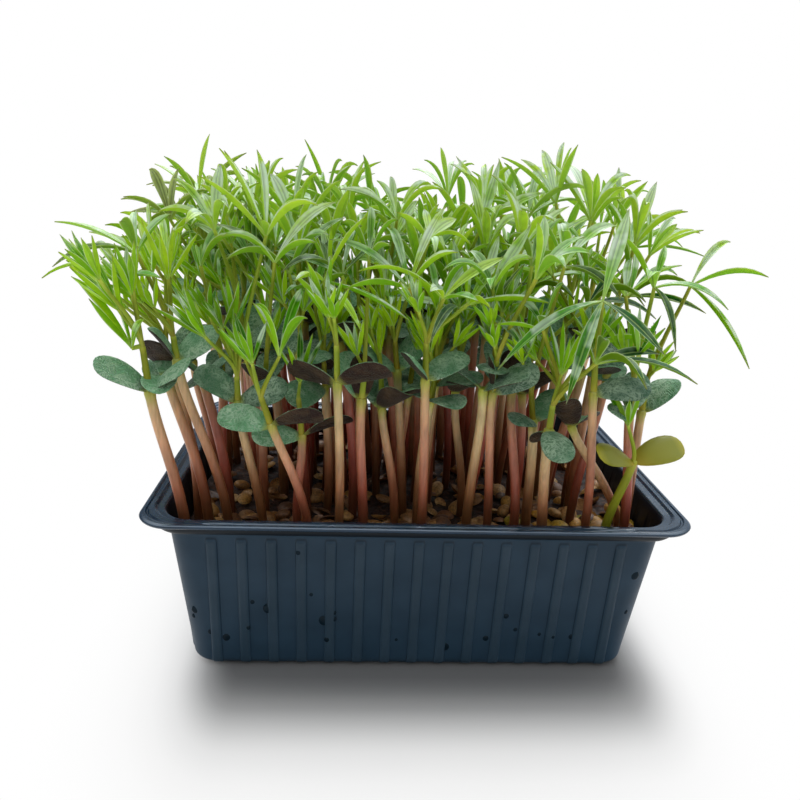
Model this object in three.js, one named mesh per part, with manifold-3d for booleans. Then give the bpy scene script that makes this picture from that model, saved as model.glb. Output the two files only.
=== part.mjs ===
// A lupin microgreens tray: a thermoformed ribbed tray, the growing medium in it,
// loose seeds, and lupin seedlings. Millimetres, +Z up.
// The origin is the middle of the tray's flat underside, and +Y points to the back.
import * as THREE from 'three';
import { mergeVertices } from 'three/addons/utils/BufferGeometryUtils.js';
import Module from 'manifold-3d';

const wasm = await Module();
wasm.setup();

// Driving sizes
const trayLength = 187;
const trayWidth = 137;
const trayHeight = 62.5;
const rim = { corner: 11.5, width: 4.2, thickness: 1, lip: 0.6, edge: 0.6 };
const skirt = { depth: 3.3, draft: 0.4 };
const wallInset = 7.9;
const wallCorner = 8;
const wallThickness = 0.8;
const wallDraft = 6.5;
const baseRound = 4;
const rib = { pitch: 10, width: 4, proud: 0.8, foot: 3, head: 53, front: 15, side: 10 };
const mediumLevel = 49;
const mediumGap = 0.4;
const mediumSpacing = 24;
const rootGap = 1;
const stem = { foot: 2.1, head: 1.8, sides: 5, steps: 4 };
const cotyledon = { length: 18, width: 11, thickness: 2 };
const shoot = { radius: 1.1, tip: 0.7, sides: 4, steps: 2 };
const leaflet = { width: 3.6, thickness: 1.2, reach: 1.5, notch: 1.6 };
const stemTops = [97, 120];
const shootLengths = [7, 14];
const petioleLengths = [19, 36];
const leafletLengths = [21, 31];
const knownDroop = 0.08;
const clearance = 0.6;
const cellSize = 7;
const seedlingCount = 44;
const rootInset = 14.5;
const seed = { length: 8.5, width: 6.5, thickness: 5, lift: 0.6 };

// Loose seeds on the medium: [x, y] and the turn of the long side in degrees.
const seedPlaces = [
  [67, -45, 20], [52, -46, 100], [77.5, -28, 85],
  [-60, -52, 150], [11, -52, 35], [-10, -50, 80],
];

// Seedlings of the front rows: root [x, y], top of the stem [x, y, z], the turn of its
// cotyledon pair about Z and how far the pair opens above level, in degrees. Where its
// leaves are known, each is its hub [x, y, z] and leaflets [turn, rise, length].
const frontSeedlings = [
  { root: [-79, -53], top: [-88, -58, 105], turn: 10, open: 30, leaves: [
    { hub: [-92, -60, 118], leaflets: [
      [180, 56, 28], [-135, 56, 22], [125, 62, 24],
      [65, 60, 20], [-50, 50, 16],
    ] },
  ] },
  { root: [-79, -38], top: [-86, -36, 106], turn: 60, open: 40, leaves: [
    { hub: [-87, -33, 143], leaflets: [
      [165, 44, 22], [110, 50, 18], [50, 55, 18],
      [-40, 50, 16],
    ] },
  ] },
  { root: [-66, -46], top: [-81, -50, 113], turn: 8, open: 28, leaves: [
    { hub: [-91, -52, 146], leaflets: [
      [170, 22, 28], [-155, -4, 24], [-95, 45, 16],
      [45, 47, 18], [105, 40, 20],
    ] },
    { hub: [-95, -55, 139], leaflets: [[180, 2, 24], [-110, -30, 16], [130, 30, 21], [-30, 10, 16]] },
  ] },
  { root: [-71, -20], top: [-72, -20, 96], turn: 100, open: 35, leaves: [
    { hub: [-75, -37, 141], leaflets: [
      [-20, 43, 17], [60, 50, 18], [140, 45, 20],
      [-140, 30, 18], [-80, 35, 14],
    ] },
  ] },
  { root: [-54, -43], top: [-62, -48, 99], turn: 165, open: 30, leaves: [
    { hub: [-53, -42, 152], leaflets: [
      [110, 68, 31], [150, 58, 34], [-170, 45, 28],
      [-90, 30, 14], [-15, 35, 21], [35, 35, 20],
    ] },
  ] },
  { root: [-55, -32], top: [-55, -32, 100], turn: 80, open: 45, leaves: [
    { hub: [-50, -45, 144], leaflets: [
      [10, 48, 29], [-30, 30, 18], [50, 50, 20],
      [120, 50, 20], [-150, 30, 20],
    ] },
  ] },
  { root: [-37, -53], top: [-50, -60, 95], turn: 175, open: 15, leaves: [
    { hub: [-47, -60, 117], leaflets: [[55, 62, 25], [-125, 62, 22], [150, 60, 20], [-30, 55, 18]] },
  ] },
  { root: [-42, -45], top: [-41, -47, 87], turn: 5, open: 20, leaves: [] },
  { root: [-28, -53], top: [-29, -58, 109], turn: 160, open: 25, leaves: [
    { hub: [-34, -53, 140], leaflets: [
      [-50, -30, 22], [-15, -16, 29], [30, 56, 26],
      [70, 66, 31], [160, 30, 18], [-120, 10, 16],
    ] },
  ] },
  { root: [-19, -49], top: [-21, -52, 102], turn: 110, open: 50, leaves: [
    { hub: [-20, -46, 146], leaflets: [
      [90, 68, 19], [20, 56, 17], [-60, 30, 14],
      [-140, 45, 14], [150, 50, 16],
    ] },
  ] },
  { root: [-8, -41], top: [-14, -42, 96], turn: 120, open: 35, leaves: [] },
  { root: [-4, -34], top: [-9, -36, 108], turn: 20, open: 45, leaves: [
    { hub: [-1, -45, 153], leaflets: [
      [-150, 38, 16], [175, 5, 15], [95, 40, 16],
      [30, 36, 13], [-22, 2, 14], [-86, -10, 13],
    ] },
  ] },
  { root: [1, -53], top: [-1, -58, 111], turn: 30, open: 20, leaves: [
    { hub: [3, -61, 137], leaflets: [
      [180, 20, 28], [80, 55, 20], [20, 35, 25],
      [-50, 10, 14], [-115, 20, 14],
    ] },
    { hub: [11, -58, 135], leaflets: [[-5, 8, 26], [40, 45, 17], [100, 50, 18], [-70, 10, 14]] },
  ] },
  { root: [18, -28], top: [13, -30, 99], turn: 90, open: 40, leaves: [] },
  { root: [25, -48], top: [22, -53, 106], turn: 0, open: 42, leaves: [] },
  { root: [34, -49], top: [31, -41, 104], turn: 75, open: 50, leaves: [
    { hub: [33, -45, 146], leaflets: [
      [144, 61, 35], [-150, 44, 15], [0, 62, 19],
      [60, 50, 18], [-70, 30, 14],
    ] },
  ] },
  { root: [38, -28], top: [37, -31, 99], turn: 140, open: 40, leaves: [] },
  { root: [40, -44], top: [38, -46, 94], turn: 40, open: 35, leaves: [
    { hub: [42, -51, 147], leaflets: [
      [164, 58, 19], [-116, 56, 15], [-17, -22, 20],
      [29, 34, 26], [90, 50, 18],
    ] },
  ] },
  { root: [44, -53], top: [40, -61, 96], turn: 95, open: 5, leaves: [] },
  { root: [76, -44], top: [50, -51, 94], turn: 60, open: 50, leaves: [] },
  { root: [58, -53], top: [53, -61, 109], turn: 170, open: 12, leaves: [
    { hub: [50, -68, 139], leaflets: [
      [165, 4, 32], [-160, -25, 38], [-123, -42, 35],
      [-45, -27, 24], [56, 60, 34],
    ] },
  ] },
  { root: [72, -53], top: [69, -53, 101], turn: 60, open: 40, leaves: [
    { hub: [70, -56, 142], leaflets: [
      [164, 56, 21], [60, 50, 18], [-18, -8, 23],
      [-60, -55, 20], [-120, 20, 16],
    ] },
    { hub: [66, -43, 137], leaflets: [[15, 31, 24], [70, 40, 20], [130, 40, 20], [-160, 30, 18]] },
  ] },
  { root: [79, -37], top: [78, -41, 97], turn: 20, open: 35, leaves: [
    { hub: [89, -40, 141], leaflets: [
      [25, 45, 23], [-12, 15, 25], [-48, -42, 32],
      [150, 50, 18], [-110, 10, 20],
    ] },
  ] },
  { root: [65, -53], top: [69, -62, 86], turn: 12, open: 28, leaves: [] },
];

// One seed starts the same stream of numbers on every run.
let randomState = 454;

function random() {
  randomState = (Math.imul(randomState, 1664525) + 1013904223) >>> 0;
  return randomState / 4294967296;
}

function between(low, high) {
  return low + (high - low) * random();
}

function vector(x, y, z) {
  return new THREE.Vector3(x, y, z);
}

function direction(azimuth, elevation) {
  const level = Math.cos(elevation);
  return vector(level * Math.cos(azimuth), level * Math.sin(azimuth), Math.sin(elevation));
}

// Solids

// Skins a list of sections with equal counts of points, and closes it with a fan at each end.
function loft(sections, firstTip, lastTip) {
  const count = sections[0].length;
  const points = sections.flat();
  const centre = (ring) => ring.reduce((sum, p) => sum.add(p), vector(0, 0, 0)).divideScalar(ring.length);
  const first = points.push(firstTip ?? centre(sections[0])) - 1;
  const last = points.push(lastTip ?? centre(sections[sections.length - 1])) - 1;
  const triangles = skin(sections.length, count);
  const end = (sections.length - 1) * count;
  for (let i = 0; i < count; i += 1) {
    const next = (i + 1) % count;
    triangles.push(first, next, i);
    triangles.push(last, end + i, end + next);
  }
  return solid(points, triangles);
}

// The side faces between successive sections.
function skin(sectionCount, count) {
  const triangles = [];
  for (let ring = 0; ring < sectionCount - 1; ring += 1) {
    for (let i = 0; i < count; i += 1) {
      const next = (i + 1) % count;
      const low = ring * count;
      const high = low + count;
      triangles.push(low + i, low + next, high + next);
      triangles.push(low + i, high + next, high + i);
    }
  }
  return triangles;
}

// Turns the faces outwards where the sections ran the other way.
function solid(points, triangles) {
  let volume = 0;
  for (let i = 0; i < triangles.length; i += 3) {
    const [a, b, c] = [points[triangles[i]], points[triangles[i + 1]], points[triangles[i + 2]]];
    volume += a.dot(vector(0, 0, 0).crossVectors(b, c));
  }
  const order = volume < 0 ? triangles.slice().reverse() : triangles;
  const vertProperties = new Float32Array(points.flatMap((p) => [p.x, p.y, p.z]));
  return new wasm.Manifold(new wasm.Mesh({ numProp: 3, vertProperties, triVerts: new Uint32Array(order) }));
}

function geometryOf(manifold) {
  const mesh = manifold.getMesh();
  const geometry = new THREE.BufferGeometry();
  geometry.setAttribute('position', new THREE.BufferAttribute(new Float32Array(mesh.vertProperties), 3));
  geometry.setIndex(new THREE.BufferAttribute(new Uint32Array(mesh.triVerts), 1));
  geometry.computeVertexNormals();
  return geometry;
}

// A tube along a path whose radius runs from one value to another.
function tube(path, startRadius, endRadius, sides) {
  return loft(tubeSections(path, startRadius, endRadius, sides));
}

function tubeSections(path, startRadius, endRadius, sides) {
  const sections = [];
  let across = vector(0, 1, 0);
  for (let i = 0; i < path.length; i += 1) {
    const along = path[Math.min(i + 1, path.length - 1)].clone().sub(path[Math.max(i - 1, 0)]).normalize();
    across = across.addScaledVector(along, -across.dot(along)).normalize();
    const side = vector(0, 0, 0).crossVectors(along, across);
    const radius = THREE.MathUtils.lerp(startRadius, endRadius, i / (path.length - 1));
    sections.push(Array.from({ length: sides }, (_, k) => {
      const angle = (2 * Math.PI * k) / sides;
      return path[i].clone()
        .addScaledVector(across, radius * Math.cos(angle))
        .addScaledVector(side, radius * Math.sin(angle));
    }));
  }
  return sections;
}

// The quadratic curve through three points.
function arcPoint([start, middle, end], t) {
  return vector(0, 0, 0)
    .addScaledVector(start, (1 - t) * (1 - 2 * t))
    .addScaledVector(middle, 4 * t * (1 - t))
    .addScaledVector(end, t * (2 * t - 1));
}

// A flat organ along a path: each shape entry is [place along the path, share of the width].
function blade(path, across, width, thickness, shape) {
  const sections = shape.map(([place, share]) => {
    const centre = arcPoint(path, place);
    const ahead = arcPoint(path, place + 0.05).sub(arcPoint(path, place - 0.05));
    const up = vector(0, 0, 0).crossVectors(across, ahead).normalize();
    const half = (width * share) / 2;
    const depth = (thickness * (0.5 + share / 2)) / 2;
    return [
      centre.clone().addScaledVector(across, half),
      centre.clone().addScaledVector(up, depth),
      centre.clone().addScaledVector(across, -half),
      centre.clone().addScaledVector(up, -depth),
    ];
  });
  return loft(sections, path[0], path[path.length - 1]);
}

// A petiole that opens into a whorl of leaflets: a thin star, sharp along its outline.
function leafSolid({ petiole, leaflets, leafFrame }) {
  const { hub, axis, side, over, spread } = leafFrame;
  const outline = leaflets.flatMap(({ path, across, angle }, i) => {
    const turn = 2 * Math.PI * Math.floor((i + 1) / leaflets.length);
    const middle = (angle + leaflets[(i + 1) % leaflets.length].angle + turn) / 2;
    return [
      path[1].clone().addScaledVector(across, -leaflet.width / 2),
      path[2],
      path[1].clone().addScaledVector(across, leaflet.width / 2),
      hub.clone()
        .addScaledVector(axis, leaflet.notch * Math.cos(spread))
        .addScaledVector(spokeAt(leafFrame, middle), leaflet.notch * Math.sin(spread)),
    ];
  });
  const stalk = tubeSections(petiole, shoot.radius * 0.9, shoot.tip, shoot.sides);
  const neck = stalk[stalk.length - 1];
  const turnOf = (p) => {
    const from = p.clone().sub(hub);
    return Math.atan2(from.dot(over), from.dot(side));
  };
  const points = [...stalk.flat(), ...outline];
  const triangles = skin(stalk.length, shoot.sides);
  const start = points.push(petiole[0]) - 1;
  const crown = points.push(hub.clone().addScaledVector(axis, leaflet.thickness)) - 1;
  for (let i = 0; i < shoot.sides; i += 1) {
    triangles.push(start, (i + 1) % shoot.sides, i);
  }
  const rim = inTurnOrder(outline.map(turnOf), stalk.flat().length);
  const collar = inTurnOrder(neck.map(turnOf), (stalk.length - 1) * shoot.sides);
  let [outer, inner] = [0, 0];
  while (outer < rim.length || inner < collar.length) {
    const [rimNow, rimNext] = [rim[outer % rim.length].index, rim[(outer + 1) % rim.length].index];
    const collarNow = collar[inner % collar.length].index;
    const collarNext = collar[(inner + 1) % collar.length].index;
    const rimTurn = (outer + 1) / rim.length;
    const collarTurn = (inner + 0.5) / collar.length;
    if (inner === collar.length || (outer < rim.length && rimTurn < collarTurn)) {
      triangles.push(collarNow, rimNext, rimNow);
      triangles.push(crown, rimNow, rimNext);
      outer += 1;
    } else {
      triangles.push(collarNow, collarNext, rimNow);
      inner += 1;
    }
  }
  return solid(points, triangles);
}

// Indices of a ring's points, counted from the point with the smallest turn.
function inTurnOrder(turns, firstIndex) {
  const rows = turns.map((turn, i) => ({ turn, index: firstIndex + i }));
  const lowest = turns.indexOf(Math.min(...turns));
  return [...rows.slice(lowest), ...rows.slice(0, lowest)];
}

// A rounded rectangle whose edges lie `inset` inside the rim's.
function rimRing(inset, corner, z) {
  const points = [];
  const steps = 4;
  for (const [sx, sy, start] of [[1, 1, 0], [-1, 1, 1], [-1, -1, 2], [1, -1, 3]]) {
    for (let i = 0; i <= steps; i += 1) {
      const angle = (Math.PI / 2) * (start + i / steps);
      points.push(vector(
        sx * (trayLength / 2 - inset - corner) + corner * Math.cos(angle),
        sy * (trayWidth / 2 - inset - corner) + corner * Math.sin(angle),
        z,
      ));
    }
  }
  return points;
}

// Adds points along the straight sides of a ring, where its points are far apart.
function withSidePoints(ring, spacing) {
  return ring.flatMap((p, i) => {
    const next = ring[(i + 1) % ring.length];
    const steps = Math.max(1, Math.round(p.distanceTo(next) / spacing));
    return Array.from({ length: steps }, (_, k) => p.clone().lerp(next, k / steps));
  });
}

// How far the wall's outer face lies inside the rim at a height.
function wallInsetAt(z) {
  const draft = wallDraft * (1 - z / trayHeight);
  const rounding = z < baseRound ? baseRound - Math.sqrt(baseRound ** 2 - (baseRound - z) ** 2) : 0;
  return wallInset + draft + rounding;
}

// The wall, a shoulder out to a skirt, the rim with its turned-down lip, and back inside.
function buildTray() {
  const wallRing = (z, inwards) => rimRing(wallInsetAt(z) + inwards, wallCorner - inwards, z);
  const rimRound = (inset, z) => rimRing(inset, rim.corner - inset, z);
  const rimUnder = trayHeight - rim.thickness;
  const lipUnder = rimUnder - rim.lip;
  const shoulder = trayHeight - skirt.depth - wallThickness;
  const shell = loft([
    ...[0, 0.6, 2, baseRound, shoulder - 1].map((z) => wallRing(z, 0)),
    rimRound(rim.width + skirt.draft - wallThickness, shoulder),
    rimRound(rim.width - wallThickness, rimUnder),
    rimRound(0.8, rimUnder),
    rimRound(0.5, lipUnder),
    rimRound(0, lipUnder),
    rimRound(0, trayHeight - rim.edge),
    rimRound(rim.edge, trayHeight),
    rimRound(rim.width, trayHeight),
    rimRound(rim.width + skirt.draft, trayHeight - skirt.depth),
    ...[shoulder - 0.4, baseRound, 2].map((z) => wallRing(z, wallThickness)),
    rimRing(wallInsetAt(0.6) + wallThickness, wallCorner - wallThickness, wallThickness),
  ]);
  return wasm.Manifold.union([shell, ...wallRibs()]);
}

// Upright ribs with a tapered head, sunk in the wall by half its thickness.
function wallRibs() {
  const ribs = [];
  const levels = [rib.foot, rib.head];
  const widths = [rib.width, rib.width * 0.7];
  for (const [count, wide, turn] of [
    [rib.front, trayWidth, 0],
    [rib.front, trayWidth, Math.PI],
    [rib.side, trayLength, Math.PI / 2],
    [rib.side, trayLength, -Math.PI / 2],
  ]) {
    for (let i = 0; i < count; i += 1) {
      const x = (i - (count - 1) / 2) * rib.pitch;
      ribs.push(loft(levels.map((z, level) => {
        const face = wide / 2 - wallInsetAt(z);
        const half = widths[level] / 2;
        return [
          vector(x - half, wallThickness / 2 - face, z),
          vector(x - half * 0.6, -face - rib.proud, z),
          vector(x + half * 0.6, -face - rib.proud, z),
          vector(x + half, wallThickness / 2 - face, z),
        ].map((p) => p.applyAxisAngle(vector(0, 0, 1), turn));
      })));
    }
  }
  return ribs;
}

// The height of the medium's lumpy top.
function mediumTop(x, y) {
  return mediumLevel + 0.8 * Math.sin(0.06 * x + 1.3) * Math.cos(0.07 * y);
}

function buildMedium() {
  const inset = (z) => wallInsetAt(z) + wallThickness + mediumGap;
  const edge = withSidePoints(rimRing(inset(mediumLevel), wallCorner - 1, mediumLevel), mediumSpacing);
  const shrunk = (by, z) => edge.map((p) => vector(
    p.x - by * Math.tanh(p.x / 20),
    p.y - by * Math.tanh(p.y / 20),
    z,
  ));
  const rings = [
    shrunk(inset(2) - inset(mediumLevel) + 1.5, wallThickness + mediumGap),
    shrunk(inset(baseRound) - inset(mediumLevel), baseRound),
    shrunk(0.3, mediumLevel - 3),
  ];
  for (const share of [1, 0.85, 0.68, 0.51, 0.34, 0.17]) {
    rings.push(edge.map((p) => {
      const z = mediumTop(p.x * share, p.y * share) - (share === 1 ? 1 : 0);
      return vector(p.x * share, p.y * share, z);
    }));
  }
  return loft(rings);
}

// Room: every organ is kept as balls in a grid of cells, so that no two seedlings meet.

const room = new Map();

function cellKey(x, y, z) {
  return `${x},${y},${z}`;
}

// A whole number owns a stem, its cotyledons and petioles; a leaf of it owns a fraction more.
const anyPartOf = (owner) => (other) => Math.floor(other) === Math.floor(owner);
const only = (owner) => (other) => other === owner;

function isClear(balls, isOwn) {
  return balls.every(({ at, radius }) => {
    const [cx, cy, cz] = [at.x, at.y, at.z].map((value) => Math.floor(value / cellSize));
    for (let i = -1; i <= 1; i += 1) {
      for (let j = -1; j <= 1; j += 1) {
        for (let k = -1; k <= 1; k += 1) {
          for (const other of room.get(cellKey(cx + i, cy + j, cz + k)) ?? []) {
            const apart = radius + other.radius + clearance;
            if (!isOwn(other.owner) && at.distanceTo(other.at) < apart) {
              return false;
            }
          }
        }
      }
    }
    return true;
  });
}

function occupy(balls, owner) {
  for (const { at, radius } of balls) {
    const key = cellKey(...[at.x, at.y, at.z].map((value) => Math.floor(value / cellSize)));
    if (!room.has(key)) {
      room.set(key, []);
    }
    room.get(key).push({ at, radius, owner });
  }
}

// A cubic curve as equal steps of its parameter.
function bend(start, startPull, endPull, end, steps) {
  return Array.from({ length: steps + 1 }, (_, i) => {
    const t = i / steps;
    const u = 1 - t;
    return vector(0, 0, 0)
      .addScaledVector(start, u * u * u)
      .addScaledVector(startPull, 3 * u * u * t)
      .addScaledVector(endPull, 3 * u * t * t)
      .addScaledVector(end, t * t * t);
  });
}

function ballsAlong(path, radius, spacing) {
  const balls = [];
  for (let i = 0; i < path.length - 1; i += 1) {
    const pieces = Math.ceil(path[i].distanceTo(path[i + 1]) / spacing);
    for (let k = 0; k < pieces; k += 1) {
      balls.push({ at: path[i].clone().lerp(path[i + 1], k / pieces), radius });
    }
  }
  balls.push({ at: path[path.length - 1].clone(), radius });
  return balls;
}

// Seedlings

// The stem rises from the medium, sways a little and ends along its own lean.
function growStem(root, top) {
  const start = vector(root[0], root[1], mediumTop(root[0], root[1]) + rootGap);
  const end = vector(...top);
  const rise = end.z - start.z;
  const startPull = start.clone().add(vector(between(-3, 3), between(-2, 2), rise * 0.38));
  const sway = vector(between(-0.18, 0.18), between(-0.15, 0.15), 0.35);
  const lean = end.clone().sub(start).normalize().add(sway).normalize();
  const endPull = end.clone().addScaledVector(lean, -rise * 0.32);
  const path = bend(start, startPull, endPull, end, stem.steps);
  return { path, up: lean, balls: ballsAlong(path, stem.foot, 2.5) };
}

// One cotyledon: a thick oval that leaves the stem's top and curls over towards its end.
function growCotyledon(stemTop, up, azimuth, open, length) {
  const out = direction(azimuth, open);
  const across = vector(-Math.sin(azimuth), Math.cos(azimuth), 0);
  const start = stemTop.clone().addScaledVector(up, -1);
  const middle = start.clone().addScaledVector(out, length * 0.55);
  const end = start.clone().addScaledVector(out, length + 1.2);
  end.z -= length * 0.12;
  const path = [start, middle, end];
  const balls = [];
  for (const place of [0.3, 0.48, 0.66, 0.84, 0.95]) {
    const reach = place > 0.9 ? 0.12 : 0.32;
    for (const side of [-reach, 0, reach]) {
      balls.push({ at: arcPoint(path, place).addScaledVector(across, side * cotyledon.width), radius: 1.8 });
    }
  }
  return { path, across, length, balls };
}

// The turn of a leaf's spoke about its hub's axis.
function spokeAt(leafFrame, angle) {
  const { side, over } = leafFrame;
  return side.clone().multiplyScalar(Math.cos(angle)).addScaledVector(over, Math.sin(angle));
}

function growLeaflet(hub, axis, spoke, spread, length, droop) {
  const out = axis.clone().multiplyScalar(Math.cos(spread)).addScaledVector(spoke, Math.sin(spread));
  const across = vector(0, 0, 0).crossVectors(axis, spoke).normalize();
  const middle = hub.clone().addScaledVector(out, length * 0.55);
  const end = hub.clone().addScaledVector(out, length);
  end.z -= droop * length;
  const path = [hub, middle, end];
  return { path, across, length, balls: ballsAlong([hub, middle, end], leaflet.reach, 3).slice(1) };
}

// A petiole that leaves the shoot's tip, and the frame of the whorl at its end.
function growPetiole(from, azimuth, rise, length, spread) {
  const out = direction(azimuth, rise);
  const startPull = from.clone().addScaledVector(out, length * 0.3);
  startPull.z += length * 0.15;
  const end = from.clone().addScaledVector(out, length);
  const endPull = end.clone().addScaledVector(out, -length * 0.3);
  const petiole = bend(from, startPull, endPull, end, shoot.steps);
  const side = vector(-Math.sin(azimuth), Math.cos(azimuth), 0);
  return {
    petiole,
    balls: ballsAlong(petiole, shoot.radius, 2.5),
    leafFrame: { hub: end, axis: out, side, over: vector(0, 0, 0).crossVectors(out, side), spread },
  };
}

function keepLeaf({ petiole, balls, leafFrame }, leaflets, owner) {
  occupy(balls, owner);
  leaflets.forEach((made) => occupy(made.balls, owner));
  return { petiole, leaflets, leafFrame };
}

// A petiole with a whorl of leaflets at its end. Leaflets with no room are left off.
function growLeaf(from, azimuth, rise, petioleLength, leafletLength, leafletCount, spread, owner) {
  const grown = growPetiole(from, azimuth, rise, petioleLength, spread);
  if (!isClear(grown.balls, anyPartOf(owner))) {
    return null;
  }
  const { hub, axis } = grown.leafFrame;
  const leaflets = [];
  const firstSpoke = between(0, 2 * Math.PI);
  for (let i = 0; i < leafletCount; i += 1) {
    const angle = firstSpoke + (2 * Math.PI * i) / leafletCount + between(-0.15, 0.15);
    const spoke = spokeAt(grown.leafFrame, angle);
    for (let attempt = 0; attempt < 4; attempt += 1) {
      const length = leafletLength * between(0.8, 1.1) * (1 - 0.12 * attempt);
      const made = growLeaflet(hub, axis, spoke, spread + between(-0.22, 0.22), length, between(0, 0.22));
      if (isClear(made.balls, only(owner))) {
        leaflets.push({ ...made, angle });
        break;
      }
    }
  }
  return leaflets.length < leafletCount - 1 ? null : keepLeaf(grown, leaflets, owner);
}

// A leaf whose hub is given, with the turn, rise and length of each leaflet.
function growKnownLeaf(from, plan, owner) {
  const way = vector(...plan.hub).sub(from);
  const length = way.length();
  const grown = growPetiole(from, Math.atan2(way.y, way.x), Math.asin(way.z / length), length, 1);
  const { hub, axis, side, over } = grown.leafFrame;
  const leaflets = [];
  for (const [turn, rise, leafletLength] of plan.leaflets) {
    const out = direction(THREE.MathUtils.degToRad(turn), THREE.MathUtils.degToRad(rise));
    const angle = Math.atan2(out.dot(over), out.dot(side));
    const spoke = spokeAt(grown.leafFrame, angle);
    const made = growLeaflet(hub, axis, spoke, Math.acos(out.dot(axis)), leafletLength, knownDroop);
    if (isClear(made.balls, only(owner))) {
      leaflets.push({ ...made, angle });
    }
  }
  if (leaflets.length < 3 || !isClear(grown.balls, anyPartOf(owner))) {
    return null;
  }
  leaflets.sort((a, b) => a.angle - b.angle);
  return keepLeaf(grown, leaflets, owner);
}

function growCotyledons(grown) {
  const { turn, open, owner } = grown;
  const pair = [];
  for (const half of [0, Math.PI]) {
    for (let attempt = 0; attempt < 6; attempt += 1) {
      const azimuth = turn + half + between(-0.12, 0.12) * (1 + attempt);
      const rise = open + between(-0.15, 0.15) * (1 + attempt);
      const length = cotyledon.length * between(0.9, 1.05) * (1 - 0.04 * attempt);
      const made = growCotyledon(grown.path[stem.steps], grown.up, azimuth, rise, length);
      if (isClear(made.balls, anyPartOf(owner))) {
        occupy(made.balls, owner);
        pair.push(made);
        break;
      }
    }
  }
  return pair;
}

// The shoot above the cotyledons: a short axis, then the leaves at its tip.
function growShoot(grown) {
  const { turn, owner, leaves: plans } = grown;
  const stemTop = grown.path[stem.steps];
  const lift = between(...shootLengths);
  const end = stemTop.clone().addScaledVector(grown.up, lift);
  const axis = bend(
    stemTop,
    stemTop.clone().addScaledVector(grown.up, lift * 0.4),
    end.clone().addScaledVector(grown.up, -lift * 0.3),
    end,
    2,
  );
  const balls = ballsAlong(axis, shoot.radius, 2.5);
  if (!isClear(balls, anyPartOf(owner))) {
    return { axis: null, leaves: [] };
  }
  occupy(balls, owner);
  const leaves = plans.length > 0
    ? plans.map((plan, i) => growKnownLeaf(end, plan, owner + (i + 1) / 8))
    : growFan(end, turn, owner);
  return { axis, leaves: leaves.filter((leaf) => leaf) };
}

// Leaves that lean away from the tray's middle. A leaf with no room is left off.
function growFan(end, turn, owner) {
  const outward = vector(end.x / trayLength, end.y / trayWidth, 0);
  const leafCount = 2 + Math.floor(between(0, 1.6));
  return Array.from({ length: leafCount }, (_, i) => {
    const first = turn + Math.PI / 2 + (i * 2 * Math.PI) / leafCount;
    for (let attempt = 0; attempt < 7; attempt += 1) {
      const azimuth = first + between(-0.4, 0.4) * (1 + 0.4 * attempt);
      const out = direction(azimuth, 0).multiplyScalar(0.5).add(outward);
      const made = growLeaf(
        end,
        Math.atan2(out.y, out.x),
        Math.PI / 2 - between(0.15, 0.7),
        between(...petioleLengths),
        between(...leafletLengths),
        5 + Math.floor(between(0, 2.5)),
        between(0.5, 1.1),
        owner + (i + 1) / 8,
      );
      if (made) {
        return made;
      }
    }
    return null;
  });
}

function growSeedling({ root, top, turn, open, leaves }, owner) {
  const grown = growStem(root, top);
  if (!isClear(grown.balls, anyPartOf(owner))) {
    return null;
  }
  occupy(grown.balls, owner);
  const { degToRad } = THREE.MathUtils;
  return { ...grown, turn: degToRad(turn), open: degToRad(open), leaves, owner };
}

// A free place for a root, away from the others, and a top that leans away from the middle.
function sowSeedling(roots, owner) {
  const reachX = trayLength / 2 - rootInset;
  const reachY = trayWidth / 2 - rootInset;
  for (let attempt = 0; attempt < 400; attempt += 1) {
    const root = [between(-reachX, reachX), between(-reachY + 26, reachY)];
    const apart = 18 - attempt * 0.03;
    if (roots.every(([x, y]) => Math.hypot(x - root[0], y - root[1]) > apart)) {
      const top = [
        root[0] * 1.1 + between(-5, 5),
        root[1] * 1.1 + between(-5, 5),
        between(...stemTops),
      ];
      const plan = { root, top, turn: between(0, 360), open: between(10, 55), leaves: [] };
      const made = growSeedling(plan, owner);
      if (made) {
        roots.push(root);
        return made;
      }
    }
  }
  return null;
}

function growTray() {
  const seedlings = [];
  const roots = [];
  for (const plan of frontSeedlings) {
    const made = growSeedling(plan, seedlings.length);
    if (made) {
      roots.push(plan.root);
      seedlings.push(made);
    }
  }
  while (seedlings.length < seedlingCount) {
    const made = sowSeedling(roots, seedlings.length);
    if (!made) {
      break;
    }
    seedlings.push(made);
  }
  for (const seedling of seedlings) {
    seedling.cotyledons = growCotyledons(seedling);
  }
  const known = (seedling) => seedling.leaves.length > 0;
  for (const seedling of [...seedlings.filter(known), ...seedlings.filter((each) => !known(each))]) {
    seedling.shoot = growShoot(seedling);
  }
  return seedlings;
}

function buildSeedling(seedling) {
  const parts = [tube(seedling.path, stem.foot, stem.head, stem.sides)];
  for (const { path, across } of seedling.cotyledons) {
    parts.push(blade(path, across, cotyledon.width, cotyledon.thickness, [[0.3, 0.8], [0.78, 0.95]]));
  }
  if (seedling.shoot.axis) {
    const axis = seedling.shoot.axis;
    parts.push(tube([seedling.path[stem.steps - 1], ...axis], shoot.radius, shoot.radius, shoot.sides));
  }
  parts.push(...seedling.shoot.leaves.map(leafSolid));
  return wasm.Manifold.union(parts);
}

// A plump oval seed lying flat.
function buildSeed([x, y, turn]) {
  const geometry = new THREE.SphereGeometry(0.5, 10, 6);
  geometry.rotateX(Math.PI / 2);
  geometry.scale(seed.length, seed.width, seed.thickness);
  geometry.rotateZ(THREE.MathUtils.degToRad(turn));
  geometry.translate(x, y, mediumTop(x, y) + seed.thickness / 2 + seed.lift);
  geometry.deleteAttribute('normal');
  geometry.deleteAttribute('uv');
  return mergeVertices(geometry);
}

// Assembly

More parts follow.
